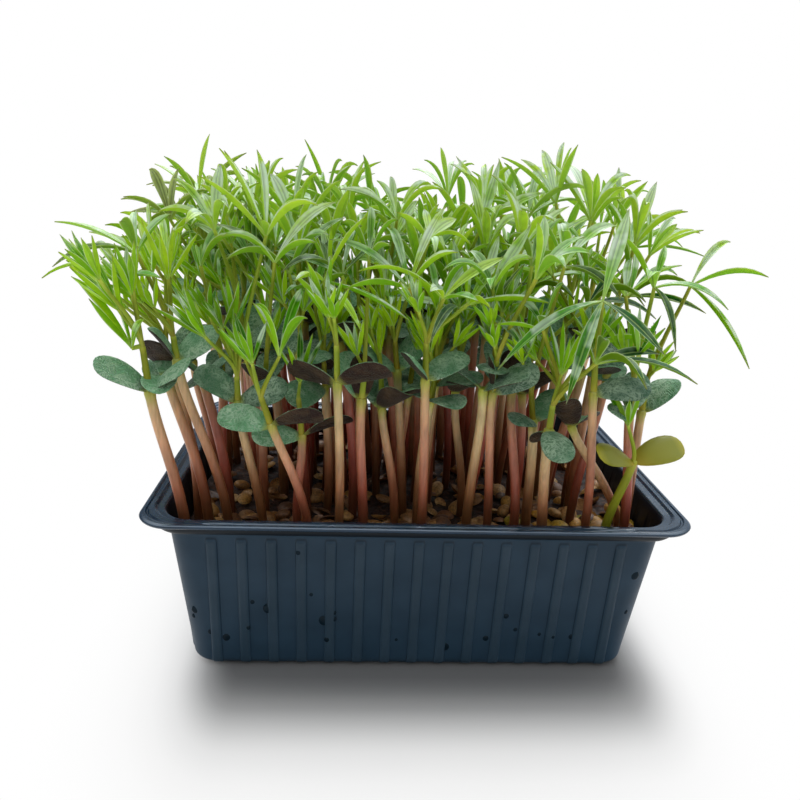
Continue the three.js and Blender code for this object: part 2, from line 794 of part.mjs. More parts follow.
const materials = {
  tray: new THREE.MeshStandardMaterial({ color: '#2b3540', roughness: 0.35, metalness: 0 }),
  medium: new THREE.MeshStandardMaterial({ color: '#2a211b', roughness: 0.95, metalness: 0 }),
  seed: new THREE.MeshStandardMaterial({ color: '#8a6a44', roughness: 0.6, metalness: 0 }),
  seedling: new THREE.MeshStandardMaterial({ color: '#8d9a5b', roughness: 0.6, metalness: 0 }),
};

const object = new THREE.Group();

function addPiece(name, geometry, material) {
  const mesh = new THREE.Mesh(geometry, material);
  mesh.name = name;
  object.add(mesh);
}

const numbered = (name, index) => `${name}_${String(index + 1).padStart(2, '0')}`;

addPiece('tray', geometryOf(buildTray()), materials.tray);
addPiece('growing_medium', geometryOf(buildMedium()), materials.medium);
seedPlaces.forEach((place, index) => {
  addPiece(numbered('seed', index), buildSeed(place), materials.seed);
});
growTray().forEach((seedling, index) => {
  addPiece(numbered('seedling', index), geometryOf(buildSeedling(seedling)), materials.seedling);
});

export default object;
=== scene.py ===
import bpy
import math
import numpy as np
from mathutils import Matrix, Vector, noise


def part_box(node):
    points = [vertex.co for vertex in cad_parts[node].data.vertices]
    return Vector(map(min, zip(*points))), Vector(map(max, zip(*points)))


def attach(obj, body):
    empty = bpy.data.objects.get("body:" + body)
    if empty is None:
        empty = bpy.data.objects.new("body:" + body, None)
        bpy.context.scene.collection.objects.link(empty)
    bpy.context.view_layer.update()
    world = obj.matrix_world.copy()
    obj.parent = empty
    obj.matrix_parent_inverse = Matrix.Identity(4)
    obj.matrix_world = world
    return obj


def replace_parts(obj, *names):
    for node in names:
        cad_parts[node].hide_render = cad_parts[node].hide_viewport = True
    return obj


# A tray of lupin microgreens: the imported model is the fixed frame, and this script gives it its looks.
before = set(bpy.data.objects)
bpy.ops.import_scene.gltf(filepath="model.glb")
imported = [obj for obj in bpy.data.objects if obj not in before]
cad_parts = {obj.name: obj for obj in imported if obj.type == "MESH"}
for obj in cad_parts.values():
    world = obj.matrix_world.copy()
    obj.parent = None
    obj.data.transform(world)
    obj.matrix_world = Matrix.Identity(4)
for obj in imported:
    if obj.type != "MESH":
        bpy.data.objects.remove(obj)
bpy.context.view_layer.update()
mm = 0.001


def toLinear(hexColour):
    # sRGB hex to the linear colour that shader sockets hold
    parts = [int(hexColour[i:i + 2], 16) / 255 for i in (1, 3, 5)]
    return tuple(c / 12.92 if c <= 0.04045 else ((c + 0.055) / 1.055) ** 2.4 for c in parts) + (1.0,)


def setInputs(node, inputs):
    # by name or in the order of the sockets in use: an output to link to, a hex colour, or a value
    inUse = [socket for socket in node.inputs if socket.enabled]
    for key, value in inputs.items() if isinstance(inputs, dict) else enumerate(inputs):
        socket = node.inputs[key] if isinstance(key, str) else inUse[key]
        if isinstance(value, bpy.types.NodeSocket):
            node.id_data.links.new(value, socket)
        else:
            socket.default_value = toLinear(value) if isinstance(value, str) else value


def addNode(tree, kind, inputs=(), out=None, stops=(), **settings):
    # adds a node, with a ramp's places and colours as stops, and returns the output out or the first in use
    node = tree.nodes.new("ShaderNode" + kind)
    for name, value in settings.items():
        setattr(node, name, value)
    for missing in stops[2:]:
        node.color_ramp.elements.new(0.5)
    for element, (place, colour) in zip(node.color_ramp.elements if stops else (), stops):
        element.position = place
        element.color = toLinear(colour) if isinstance(colour, str) else (colour, colour, colour, 1)
    setInputs(node, inputs)
    return node.outputs[out] if out else next(socket for socket in node.outputs if socket.enabled)


def newMaterial(name):
    material = bpy.data.materials.new(name)
    material.use_nodes = True
    return material, material.node_tree, material.node_tree.nodes["Principled BSDF"]


def mottle(tree, size, stops=(), stretch=(1, 1, 1), detail=2.0):
    # unevenness about size mm across, stretched by less than 1 along an axis, as a ramp where it has stops
    where = addNode(tree, "TexCoord", out="Object")
    scaled = addNode(tree, "Mapping", {"Vector": where, "Scale": [share / (size * mm) for share in stretch]})
    lumps = addNode(tree, "TexNoise", {"Vector": scaled, "Scale": 1.0, "Detail": detail})
    return addNode(tree, "ValToRGB", (lumps,), stops=stops) if stops else lumps


layer = {"data_type": "RGBA"}  # a Mix that lays one colour over another
tint = {"data_type": "RGBA", "blend_type": "MULTIPLY"}  # a Mix that darkens or colours what is under it
white = (1, 1, 1, 1)


def deselectAll():
    if bpy.context.object and bpy.context.object.mode != "OBJECT":
        bpy.ops.object.mode_set(mode="OBJECT")
    bpy.ops.object.select_all(action="DESELECT")


def finishMesh(sharpAngle):
    # faces of the piece at hand turn outwards, and it is smooth but for edges over sharpAngle degrees
    bpy.ops.object.mode_set(mode="EDIT")
    bpy.ops.mesh.select_all(action="SELECT")
    bpy.ops.mesh.normals_make_consistent(inside=False)
    bpy.ops.object.mode_set(mode="OBJECT")
    bpy.ops.object.shade_smooth_by_angle(angle=math.radians(sharpAngle))


# Camera

camera = {
    "place": (-23.34, -285.57, 173.13),  # mm
    "yaw": 3.66, "pitch": 17.04, "roll": 2.64,  # degrees, pitch downwards
    "lens": 33.36,
}


def addCamera():
    yaw, pitch, roll = (math.radians(camera[k]) for k in ("yaw", "pitch", "roll"))
    ahead = Vector((math.sin(yaw) * math.cos(pitch), math.cos(yaw) * math.cos(pitch), -math.sin(pitch)))
    level = ahead.cross(Vector((0, 0, 1))).normalized()
    upright = level.cross(ahead)
    right = math.cos(roll) * level + math.sin(roll) * upright
    up = -math.sin(roll) * level + math.cos(roll) * upright
    data = bpy.data.cameras.new("camera")
    data.lens = camera["lens"]
    data.sensor_width = 36
    data.clip_start = 0.01
    holder = bpy.data.objects.new("camera", data)
    holder.matrix_world = Matrix.Translation(Vector(camera["place"]) * mm) @ Matrix(
        (right, up, -ahead)).transposed().to_4x4()
    bpy.context.collection.objects.link(holder)
    bpy.context.scene.camera = holder


# Lights and floor

light = {
    "sunPower": 1.8, "sunAngle": 40, "sunTurn": (-34, 6, 0),  # a broad lamp high behind the tray, degrees
    "back": 1.0, "side": 0.86, "front": 0.44,  # brightness of the studio round the tray
    # what gloss sees: left, right and above
    "dimSide": "#666d77", "windowSide": "#d5e3f2", "ceiling": (4.4, 4.9, 5.4, 1),
}
paper = {
    "reach": 3.0, "shadowMiddle": (0.006, -0.01), "shadowFoot": (0.067, 0.044), "sideFade": 1.9,  # m
    # painted shadow: the paper's own colour is darker grey near the tray and turns to far over the reach in
    # metres
    "near": "#8a8a8a", "far": "#f4f4f4", "paintedShadowReach": 0.07,
    # metres from the shadow's foot and how far the paper has turned to pure white there
    "whitening": [
        (0.014, 0.0), (0.024, 0.1), (0.032, 0.31), (0.042, 0.6), (0.054, 0.74), (0.07, 0.87), (0.09, 0.95),
        (0.115, 1.0),
    ],
}


def addLight():
    deselectAll()
    turn = [math.radians(angle) for angle in light["sunTurn"]]
    bpy.ops.object.light_add(type="SUN", location=(0, 0.6, 1.2), rotation=turn)
    sun = bpy.context.object
    sun.name = "high_back_light"
    sun.data.energy = light["sunPower"]
    sun.data.angle = math.radians(light["sunAngle"])
    world = bpy.data.worlds.new("studio")
    bpy.context.scene.world = world
    world.use_nodes = True
    tree = world.node_tree
    way = addNode(tree, "SeparateXYZ", (addNode(tree, "TexCoord", out="Generated"),)).node.outputs
    rays = addNode(tree, "LightPath").node.outputs
    # the studio is bright behind and above, paler at the sides and dim in front of the tray
    depth = addNode(tree, "MapRange", (way["Y"], -1, 1))
    sky = addNode(tree, "ValToRGB", (depth,), stops=[
        (0.15, light["front"]), (0.5, light["side"]), (0.75, light["back"])])
    # gloss shows a dim wall on the left, a window on the right and the bright ceiling
    sideways = addNode(tree, "MapRange", (way["X"], -1, 1))
    walls = addNode(tree, "ValToRGB", (sideways,), stops=[
        (0.38, light["dimSide"]), (0.68, light["windowSide"])])
    height = addNode(tree, "MapRange", (way["Z"], 0.45, 0.85))
    gloss = addNode(tree, "Mix", (height, walls, light["ceiling"]), **layer)
    sky = addNode(tree, "Mix", (rays["Is Glossy Ray"], sky, gloss), **layer)
    sky = addNode(tree, "Mix", (rays["Is Camera Ray"], sky, white), **layer)
    setInputs(tree.nodes["Background"], {"Color": sky, "Strength": 1})


def addFloor():
    deselectAll()
    bpy.ops.mesh.primitive_circle_add(
        vertices=96, radius=paper["reach"], fill_type="NGON", location=(0, 0, 0))
    floor = bpy.context.object
    floor.name = "floor"
    material, tree, shader = newMaterial("studio_paper")  # matte seamless paper, white under studio light
    # how far a place is from the foot of the tray's shadow, the same on all sides
    distance = addNode(tree, "TexCoord", out="Object")
    for operation, *vector in (
            ("SUBTRACT", (*paper["shadowMiddle"], 0)), ("ABSOLUTE",), ("SUBTRACT", (*paper["shadowFoot"], 0)),
            ("MAXIMUM", (0, 0, 0)), ("MULTIPLY", (paper["sideFade"], 1, 1)), ("LENGTH",)):
        distance = addNode(tree, "VectorMath", (distance, *vector), operation=operation)
    # painted shadow: the paper's own colour darkens to grey towards the foot of the tray's shadow
    near = addNode(tree, "MapRange", (distance, 0.0, paper["paintedShadowReach"]))
    colour = addNode(tree, "ValToRGB", (near,), stops=[(0.1, paper["near"]), (0.8, paper["far"])])
    setInputs(shader, {"Base Color": colour, "Roughness": 0.9, "Specular IOR Level": 0.1})
    # away from the tray the paper turns pure white, for camera and glossy rays only
    fade = addNode(tree, "ValToRGB", (distance,), stops=paper["whitening"])
    rays = addNode(tree, "LightPath").node.outputs
    seen = addNode(tree, "Math", (rays["Is Camera Ray"], rays["Is Glossy Ray"]), operation="MAXIMUM")
    amount = addNode(tree, "Math", (fade, seen), operation="MULTIPLY")
    glow = addNode(tree, "Emission", (white, 1.0))
    blend = addNode(tree, "MixShader", (amount, shader.outputs[0], glow))
    setInputs(tree.nodes["Material Output"], {"Surface": blend})
    floor.data.materials.append(material)


# Growth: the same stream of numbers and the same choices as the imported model's seedlings, in mm

tray = {
    "length": 187, "width": 137, "height": 62.5, "wallInset": 7.9, "wallCorner": 8, "wall": 0.8, "draft": 6.5,
    "baseRound": 4, "medium": 49, "rootGap": 1, "rootInset": 14.5,
}
stem = {"foot": 2.1, "steps": 4}
cotyledon = {"length": 18, "width": 11, "ball": 1.8}
shoot = {"radius": 1.1, "steps": 2}
leaflet = {"width": 3.6, "reach": 1.5}
stemTops = (97, 120)
shootLengths = (7, 14)
petioleLengths = (19, 36)
leafletLengths = (21, 31)
knownDroop = 0.08
clearance = 0.6  # between the balls that stand for the parts of plants, which may overlap where it is below 0
ballSpacing = 2.5
cellSize = 7
seedlingCount = 44
sowing = {"apart": 18, "frontGap": 26}  # between roots, and kept free along the front
frontSeedlings = [
    # root, top of the stem, turn and opening of the cotyledon pair in degrees, and known leaves:
    # each its hub and its leaflets as turn, rise and length
    ((-79, -53), (-88, -58, 105), 10, 30, [
        ((-92, -60, 118), [(180, 56, 28), (-135, 56, 22), (125, 62, 24), (65, 60, 20), (-50, 50, 16)]),
    ]),
    ((-79, -38), (-86, -36, 106), 60, 40, [
        ((-87, -33, 143), [(165, 44, 22), (110, 50, 18), (50, 55, 18), (-40, 50, 16)]),
    ]),
    ((-66, -46), (-81, -50, 113), 8, 28, [
        ((-91, -52, 146), [(170, 22, 28), (-155, -4, 24), (-95, 45, 16), (45, 47, 18), (105, 40, 20)]),
        ((-95, -55, 139), [(180, 2, 24), (-110, -30, 16), (130, 30, 21), (-30, 10, 16)]),
    ]),
    ((-71, -20), (-72, -20, 96), 100, 35, [
        ((-75, -37, 141), [(-20, 43, 17), (60, 50, 18), (140, 45, 20), (-140, 30, 18), (-80, 35, 14)]),
    ]),
    ((-54, -43), (-62, -48, 99), 165, 30, [
        ((-53, -42, 152), [
            (110, 68, 31), (150, 58, 34), (-170, 45, 28),
            (-90, 30, 14), (-15, 35, 21), (35, 35, 20),
        ]),
    ]),
    ((-55, -32), (-55, -32, 100), 80, 45, [
        ((-50, -45, 144), [(10, 48, 29), (-30, 30, 18), (50, 50, 20), (120, 50, 20), (-150, 30, 20)]),
    ]),
    ((-37, -53), (-50, -60, 95), 175, 15, [
        ((-47, -60, 117), [(55, 62, 25), (-125, 62, 22), (150, 60, 20), (-30, 55, 18)]),
    ]),
    ((-42, -45), (-41, -47, 87), 5, 20, []),
    ((-28, -53), (-29, -58, 109), 160, 25, [
        ((-34, -53, 140), [
            (-50, -30, 22), (-15, -16, 29), (30, 56, 26),
            (70, 66, 31), (160, 30, 18), (-120, 10, 16),
        ]),
    ]),
    ((-19, -49), (-21, -52, 102), 110, 50, [
        ((-20, -46, 146), [(90, 68, 19), (20, 56, 17), (-60, 30, 14), (-140, 45, 14), (150, 50, 16)]),
    ]),
    ((-8, -41), (-14, -42, 96), 120, 35, []),
    ((-4, -34), (-9, -36, 108), 20, 45, [
        ((-1, -45, 153), [
            (-150, 38, 16), (175, 5, 15), (95, 40, 16),
            (30, 36, 13), (-22, 2, 14), (-86, -10, 13),
        ]),
    ]),
    ((1, -53), (-1, -58, 111), 30, 20, [
        ((3, -61, 137), [(180, 20, 28), (80, 55, 20), (20, 35, 25), (-50, 10, 14), (-115, 20, 14)]),
        ((11, -58, 135), [(-5, 8, 26), (40, 45, 17), (100, 50, 18), (-70, 10, 14)]),
    ]),
    ((18, -28), (13, -30, 99), 90, 40, []),
    ((25, -48), (22, -53, 106), 0, 42, []),
    ((34, -49), (31, -41, 104), 75, 50, [
        ((33, -45, 146), [(144, 61, 35), (-150, 44, 15), (0, 62, 19), (60, 50, 18), (-70, 30, 14)]),
    ]),
    ((38, -28), (37, -31, 99), 140, 40, []),
    ((40, -44), (38, -46, 94), 40, 35, [
        ((42, -51, 147), [(164, 58, 19), (-116, 56, 15), (-17, -22, 20), (29, 34, 26), (90, 50, 18)]),
    ]),
    ((44, -53), (40, -61, 96), 95, 5, []),
    ((76, -44), (50, -51, 94), 60, 50, []),
    ((58, -53), (53, -61, 109), 170, 12, [
        ((50, -68, 139), [(165, 4, 32), (-160, -25, 38), (-123, -42, 35), (-45, -27, 24), (56, 60, 34)]),
    ]),
    ((72, -53), (69, -53, 101), 60, 40, [
        ((70, -56, 142), [(164, 56, 21), (60, 50, 18), (-18, -8, 23), (-60, -55, 20), (-120, 20, 16)]),
        ((66, -43, 137), [(15, 31, 24), (70, 40, 20), (130, 40, 20), (-160, 30, 18)]),
    ]),
    ((79, -37), (78, -41, 97), 20, 35, [
        ((89, -40, 141), [(25, 45, 23), (-12, 15, 25), (-48, -42, 32), (150, 50, 18), (-110, 10, 20)]),
    ]),
    ((65, -53), (69, -62, 86), 12, 28, []),
]
randomState = 454
room = {}


def between(low, high):
    global randomState
    randomState = (randomState * 1664525 + 1013904223) % 4294967296
    return low + (high - low) * (randomState / 4294967296)


def plus(a, b, k=1.0):
    return (a[0] + b[0] * k, a[1] + b[1] * k, a[2] + b[2] * k)


def dot(a, b):
    return a[0] * b[0] + a[1] * b[1] + a[2] * b[2]


def cross(a, b):
    return (a[1] * b[2] - a[2] * b[1], a[2] * b[0] - a[0] * b[2], a[0] * b[1] - a[1] * b[0])


def unit(a):
    size = math.sqrt(a[0] * a[0] + a[1] * a[1] + a[2] * a[2])
    return (a[0] / size, a[1] / size, a[2] / size)


def direction(azimuth, elevation):
    level = math.cos(elevation)
    return (level * math.cos(azimuth), level * math.sin(azimuth), math.sin(elevation))


def mediumTop(x, y):
    return tray["medium"] + 0.8 * math.sin(0.06 * x + 1.3) * math.cos(0.07 * y)


def cellOf(point):
    return tuple(math.floor(value / cellSize) for value in point)


def isClear(balls, isOwn):
    for at, radius in balls:
        cx, cy, cz = cellOf(at)
        for i in (-1, 0, 1):
            for j in (-1, 0, 1):
                for k in (-1, 0, 1):
                    for other, otherRadius, owner in room.get((cx + i, cy + j, cz + k), ()):
                        if not isOwn(owner) and math.dist(at, other) < radius + otherRadius + clearance:
                            return False
    return True


def anyPartOf(owner):
    return lambda other: math.floor(other) == math.floor(owner)


def only(owner):
    return lambda other: other == owner


def occupy(balls, owner):
    for at, radius in balls:
        room.setdefault(cellOf(at), []).append((at, radius, owner))


def weighted(corners, weights):
    point = (0.0, 0.0, 0.0)
    for corner, weight in zip(corners, weights):
        point = plus(point, corner, weight)
    return point


def bend(pulls, steps):
    path = []
    for i in range(steps + 1):
        t = i / steps
        u = 1 - t
        path.append(weighted(pulls, (u * u * u, 3 * u * u * t, 3 * u * t * t, t * t * t)))
    return path


def arcWeights(t):
    # of three points that a quadratic curve passes through
    return (1 - t) * (1 - 2 * t), 4 * t * (1 - t), t * (2 * t - 1)


def ballsAlong(path, radius, spacing):
    balls = []
    for a, b in zip(path, path[1:]):
        pieces = math.ceil(math.dist(a, b) / spacing)
        for k in range(pieces):
            balls.append((plus(a, plus(b, a, -1), k / pieces), radius))
    balls.append((path[-1], radius))
    return balls


def growStem(root, top):
    start = (root[0], root[1], mediumTop(root[0], root[1]) + tray["rootGap"])
    rise = top[2] - start[2]
    startPull = plus(start, (between(-3, 3), between(-2, 2), rise * 0.38))
    sway = (between(-0.18, 0.18), between(-0.15, 0.15), 0.35)
    lean = unit(plus(unit(plus(top, start, -1)), sway))
    endPull = plus(top, lean, -rise * 0.32)
    pulls = (start, startPull, endPull, top)
    path = bend(pulls, stem["steps"])
    return {"path": path, "pulls": pulls, "up": lean, "balls": ballsAlong(path, stem["foot"], ballSpacing)}


def growSeedling(root, top, turn, opening, plans, owner):
    grown = growStem(root, top)
    if not isClear(grown["balls"], anyPartOf(owner)):
        return None
    occupy(grown["balls"], owner)
    grown.update(turn=math.radians(turn), open=math.radians(opening), plans=plans, owner=owner)
    return grown


def sowSeedling(roots, owner, sowing):
    reachX = tray["length"] / 2 - tray["rootInset"]
    reachY = tray["width"] / 2 - tray["rootInset"]
    for attempt in range(400):
        root = (between(-reachX, reachX), between(-reachY + sowing["frontGap"], reachY))
        apart = sowing["apart"] - attempt * 0.03
        if all(math.hypot(x - root[0], y - root[1]) > apart for x, y in roots):
            top = (root[0] * 1.1 + between(-5, 5), root[1] * 1.1 + between(-5, 5), between(*stemTops))
            made = growSeedling(root, top, between(0, 360), between(10, 55), (), owner)
            if made:
                roots.append(root)
                return made
    return None


def growCotyledon(stemTop, up, azimuth, rise, length):
    out = direction(azimuth, rise)
    across = (-math.sin(azimuth), math.cos(azimuth), 0.0)
    start = plus(stemTop, up, -1)
    middle = plus(start, out, length * 0.55)
    end = plus(start, out, length + 1.2)
    end = (end[0], end[1], end[2] - length * 0.12)
    path = (start, middle, end)
    balls = []
    for place in (0.3, 0.48, 0.66, 0.84, 0.95):
        reach = 0.12 if place > 0.9 else 0.32
        for side in (-reach, 0, reach):
            spot = weighted(path, arcWeights(place))
            balls.append((plus(spot, across, side * cotyledon["width"]), cotyledon["ball"]))
    return {"path": path, "across": across, "length": length, "balls": balls}


def growCotyledons(grown):
    pair = []
    for half in (0, math.pi):
        for attempt in range(6):
            azimuth = grown["turn"] + half + between(-0.12, 0.12) * (1 + attempt)
            rise = grown["open"] + between(-0.15, 0.15) * (1 + attempt)
            length = cotyledon["length"] * between(0.9, 1.05) * (1 - 0.04 * attempt)
            made = growCotyledon(grown["path"][-1], grown["up"], azimuth, rise, length)
            if isClear(made["balls"], anyPartOf(grown["owner"])):
                occupy(made["balls"], grown["owner"])
                pair.append(made)
                break
    return pair


def growLeaflet(hub, axis, spoke, spread, length, droop):
    out = plus(tuple(v * math.cos(spread) for v in axis), spoke, math.sin(spread))
    across = unit(cross(axis, spoke))
    middle = plus(hub, out, length * 0.55)
    end = plus(hub, out, length)
    end = (end[0], end[1], end[2] - droop * length)
    path = (hub, middle, end)
    balls = ballsAlong(path, leaflet["reach"], 3)[1:]
    return {"path": path, "across": across, "length": length, "balls": balls}


def growPetiole(start, azimuth, rise, length):
    out = direction(azimuth, rise)
    startPull = plus(start, out, length * 0.3)
    startPull = (startPull[0], startPull[1], startPull[2] + length * 0.15)
    end = plus(start, out, length)
    endPull = plus(end, out, -length * 0.3)
    pulls = (start, startPull, endPull, end)
    balls = ballsAlong(bend(pulls, shoot["steps"]), shoot["radius"], ballSpacing)
    side = (-math.sin(azimuth), math.cos(azimuth), 0.0)
    return {"pulls": pulls, "balls": balls, "axis": out, "side": side, "over": cross(out, side)}


def spokeAt(grown, angle):
    return plus(tuple(v * math.cos(angle) for v in grown["side"]), grown["over"], math.sin(angle))


def keepLeaf(grown, leaflets, owner):
    for balls in [grown["balls"]] + [made["balls"] for made in leaflets]:
        occupy(balls, owner)
    return {"pulls": grown["pulls"], "axis": grown["axis"], "leaflets": leaflets}


def growLeaf(start, azimuth, rise, petioleLength, leafletLength, leafletCount, spread, owner):
    grown = growPetiole(start, azimuth, rise, petioleLength)
    if not isClear(grown["balls"], anyPartOf(owner)):
        return None
    hub, axis = grown["pulls"][-1], grown["axis"]
    leaflets = []
    firstSpoke = between(0, 2 * math.pi)
    for i in range(leafletCount):
        angle = firstSpoke + 2 * math.pi * i / leafletCount + between(-0.15, 0.15)
        for attempt in range(4):
            length = leafletLength * between(0.8, 1.1) * (1 - 0.12 * attempt)
            made = growLeaflet(hub, axis, spokeAt(grown, angle), spread + between(-0.22, 0.22), length,
                               between(0, 0.22))
            if isClear(made["balls"], only(owner)):
                leaflets.append(made)
                break
    return keepLeaf(grown, leaflets, owner) if len(leaflets) >= leafletCount - 1 else None


def growKnownLeaf(start, plan, owner):
    hub, plans = plan
    way = plus(hub, start, -1)
    length = math.hypot(*way)
    grown = growPetiole(start, math.atan2(way[1], way[0]), math.asin(way[2] / length), length)
    hub, axis = grown["pulls"][-1], grown["axis"]
    leaflets = []
    for turn, rise, leafletLength in plans:
        out = direction(math.radians(turn), math.radians(rise))
        angle = math.atan2(dot(out, grown["over"]), dot(out, grown["side"]))
        made = growLeaflet(hub, axis, spokeAt(grown, angle), math.acos(dot(out, axis)), leafletLength,
                           knownDroop)
        if isClear(made["balls"], only(owner)):
            leaflets.append(made)
    if len(leaflets) < 3 or not isClear(grown["balls"], anyPartOf(owner)):
        return None
    return keepLeaf(grown, leaflets, owner)


def growFan(end, turn, owner):
    leaves = []
    outward = (end[0] / tray["length"], end[1] / tray["width"], 0.0)
    leafCount = 2 + math.floor(between(0, 1.6))
    for i in range(leafCount):
        first = turn + math.pi / 2 + i * 2 * math.pi / leafCount
        for attempt in range(7):
            azimuth = first + between(-0.4, 0.4) * (1 + 0.4 * attempt)
            out = plus(tuple(v * 0.5 for v in direction(azimuth, 0)), outward)
            rise = math.pi / 2 - between(0.15, 0.7)
            sizes = (between(*petioleLengths), between(*leafletLengths), 5 + math.floor(between(0, 2.5)),
                     between(0.5, 1.1))
            made = growLeaf(end, math.atan2(out[1], out[0]), rise, *sizes, owner + (i + 1) / 8)
            if made:
                leaves.append(made)
                break
    return leaves


def growShoot(grown):
    owner = grown["owner"]
    top = grown["path"][-1]
    lift = between(*shootLengths)
    end = plus(top, grown["up"], lift)
    pulls = (top, plus(top, grown["up"], lift * 0.4), plus(end, grown["up"], -lift * 0.3), end)
    balls = ballsAlong(bend(pulls, shoot["steps"]), shoot["radius"], ballSpacing)
    if not isClear(balls, anyPartOf(owner)):
        return {"pulls": None, "end": top, "leaves": []}
    occupy(balls, owner)
    if grown["plans"]:
        leaves = [growKnownLeaf(end, plan, owner + (i + 1) / 8) for i, plan in enumerate(grown["plans"])]
    else:
        leaves = growFan(end, grown["turn"], owner)
    return {"pulls": pulls, "end": end, "leaves": [leaf for leaf in leaves if leaf]}


def growAll():
    seedlings = []
    roots = []
    for root, *plan in frontSeedlings:
        made = growSeedling(root, *plan, len(seedlings))
        if made:
            roots.append(root)
            seedlings.append(made)
    while len(seedlings) < seedlingCount:
        made = sowSeedling(roots, len(seedlings), sowing)
        if not made:
            break
        seedlings.append(made)
    for grown in seedlings:
        grown["cotyledons"] = growCotyledons(grown)
    for grown in sorted(seedlings, key=lambda grown: not grown["plans"]):
        grown["shoot"] = growShoot(grown)
    return seedlings, roots


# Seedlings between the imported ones: a real tray is sown thicker than a light model can hold.
thicket = {
    "count": 98, "apart": 7.3, "frontGap": 5, "stemGap": -0.9, "cotyledonGap": -3.2, "leafGap": -1.1,
    "rightReach": 74, "rightRoot": 67, "rearReach": 86,
}


def growThicket(roots, first):
    global clearance
    clearance = thicket["stemGap"]
    grown = []
    for index in range(thicket["count"]):
        made = sowSeedling(roots, first + index, thicket)
        if made and made["pulls"][0][0] < thicket["rightRoot"]:
            grown.append(made)
    clearance = thicket["cotyledonGap"]
    for made in grown:
        made["cotyledons"] = growCotyledons(made)
    clearance = thicket["leafGap"]
    for made in grown:
        made["shoot"] = growShoot(made)
        # the right end of the tray is thinner, and nothing leans far out at the rear
        made["shoot"]["leaves"] = [
            leaf for leaf in made["shoot"]["leaves"]
            if leaf["pulls"][3][0] < thicket["rightReach"] and leaf["pulls"][3][1] < thicket["rearReach"]]
    return grown


print("growing")
seedlings, roots = growAll()
thicketSeedlings = growThicket(roots, len(seedlings))
print("seedlings", len(seedlings), "and", len(thicketSeedlings), "between them")

# Organs: each is modelled once as a closed strand, then laid along every grown curve.
# In a strand x is across (-1 to 1), y is up (-1 to 1) and z runs from the base (0) to the tip (1).


def strandTemplate(sides, cuts):
    deselectAll()
    bpy.ops.mesh.primitive_cylinder_add(
        vertices=sides, radius=1, depth=1, end_fill_type="TRIFAN", location=(0, 0, 0.5))
    strand = bpy.context.object
    bpy.ops.object.transform_apply(location=True)
    bpy.ops.object.mode_set(mode="EDIT")
    bpy.ops.mesh.select_mode(type="EDGE")
    bpy.ops.mesh.select_all(action="DESELECT")
    bpy.ops.object.mode_set(mode="OBJECT")
    corners = strand.data.vertices
    for edge in strand.data.edges:
        edge.select = abs(corners[edge.vertices[0]].co.z - corners[edge.vertices[1]].co.z) > 0.5
    bpy.ops.object.mode_set(mode="EDIT")
    bpy.ops.mesh.subdivide(number_cuts=cuts)
    bpy.ops.object.mode_set(mode="OBJECT")
    return takeTemplate(strand)


def roundTemplate(segments, rings):
    deselectAll()
    bpy.ops.mesh.primitive_uv_sphere_add(segments=segments, ring_count=rings, radius=1, location=(0, 0, 0))
    ball = bpy.context.object
    for corner in ball.data.vertices:
        corner.co.z = (corner.co.z + 1) / 2
    return takeTemplate(ball)


def takeTemplate(source):
    # keeps the points and faces of a modelled object and removes it
    mesh = source.data
    template = {
        "points": np.array([tuple(corner.co) for corner in mesh.vertices]),
        "faces": [tuple(face.vertices) for face in mesh.polygons],
    }
    bpy.data.objects.remove(source)
    return template


stemTemplate = strandTemplate(10, 13)
stemTemplate["points"][:, 2] = 1 - (1 - stemTemplate["points"][:, 2]) ** 1.7  # rings gather at the top
stalkTemplate = strandTemplate(6, 6)
leafletTemplate = strandTemplate(4, 8)
cotyledonTemplate = roundTemplate(18, 12)


def cubic(pulls, t):
    weights = ((1 - t) ** 3, 3 * (1 - t) ** 2 * t, 3 * (1 - t) * t ** 2, t ** 3)
    return sum(np.outer(weight, corner) for weight, corner in zip(weights, pulls))


def arc(path, t):
    return sum(np.outer(weight, corner) for weight, corner in zip(arcWeights(t), path))


def layStrand(template, curve, across, halfWidth, halfDepth, lift=0.0, twist=0.0):
    # halfWidth, halfDepth and lift are mm values for each point of the template
    points = template["points"]
    t = points[:, 2]
    place = curve(t)
    step = 0.01
    along = curve(np.clip(t + step, 0, 1)) - curve(np.clip(t - step, 0, 1))
    along /= np.linalg.norm(along, axis=1, keepdims=True)
    side = np.asarray(across) - along * (along @ np.asarray(across))[:, None]
    side /= np.linalg.norm(side, axis=1, keepdims=True)
    up = np.cross(along, side)
    turn = twist * t
    sideTurned = side * np.cos(turn)[:, None] + up * np.sin(turn)[:, None]
    upTurned = up * np.cos(turn)[:, None] - side * np.sin(turn)[:, None]
    return (place + sideTurned * (points[:, 0] * halfWidth)[:, None]
            + upTurned * (points[:, 1] * halfDepth + lift)[:, None])


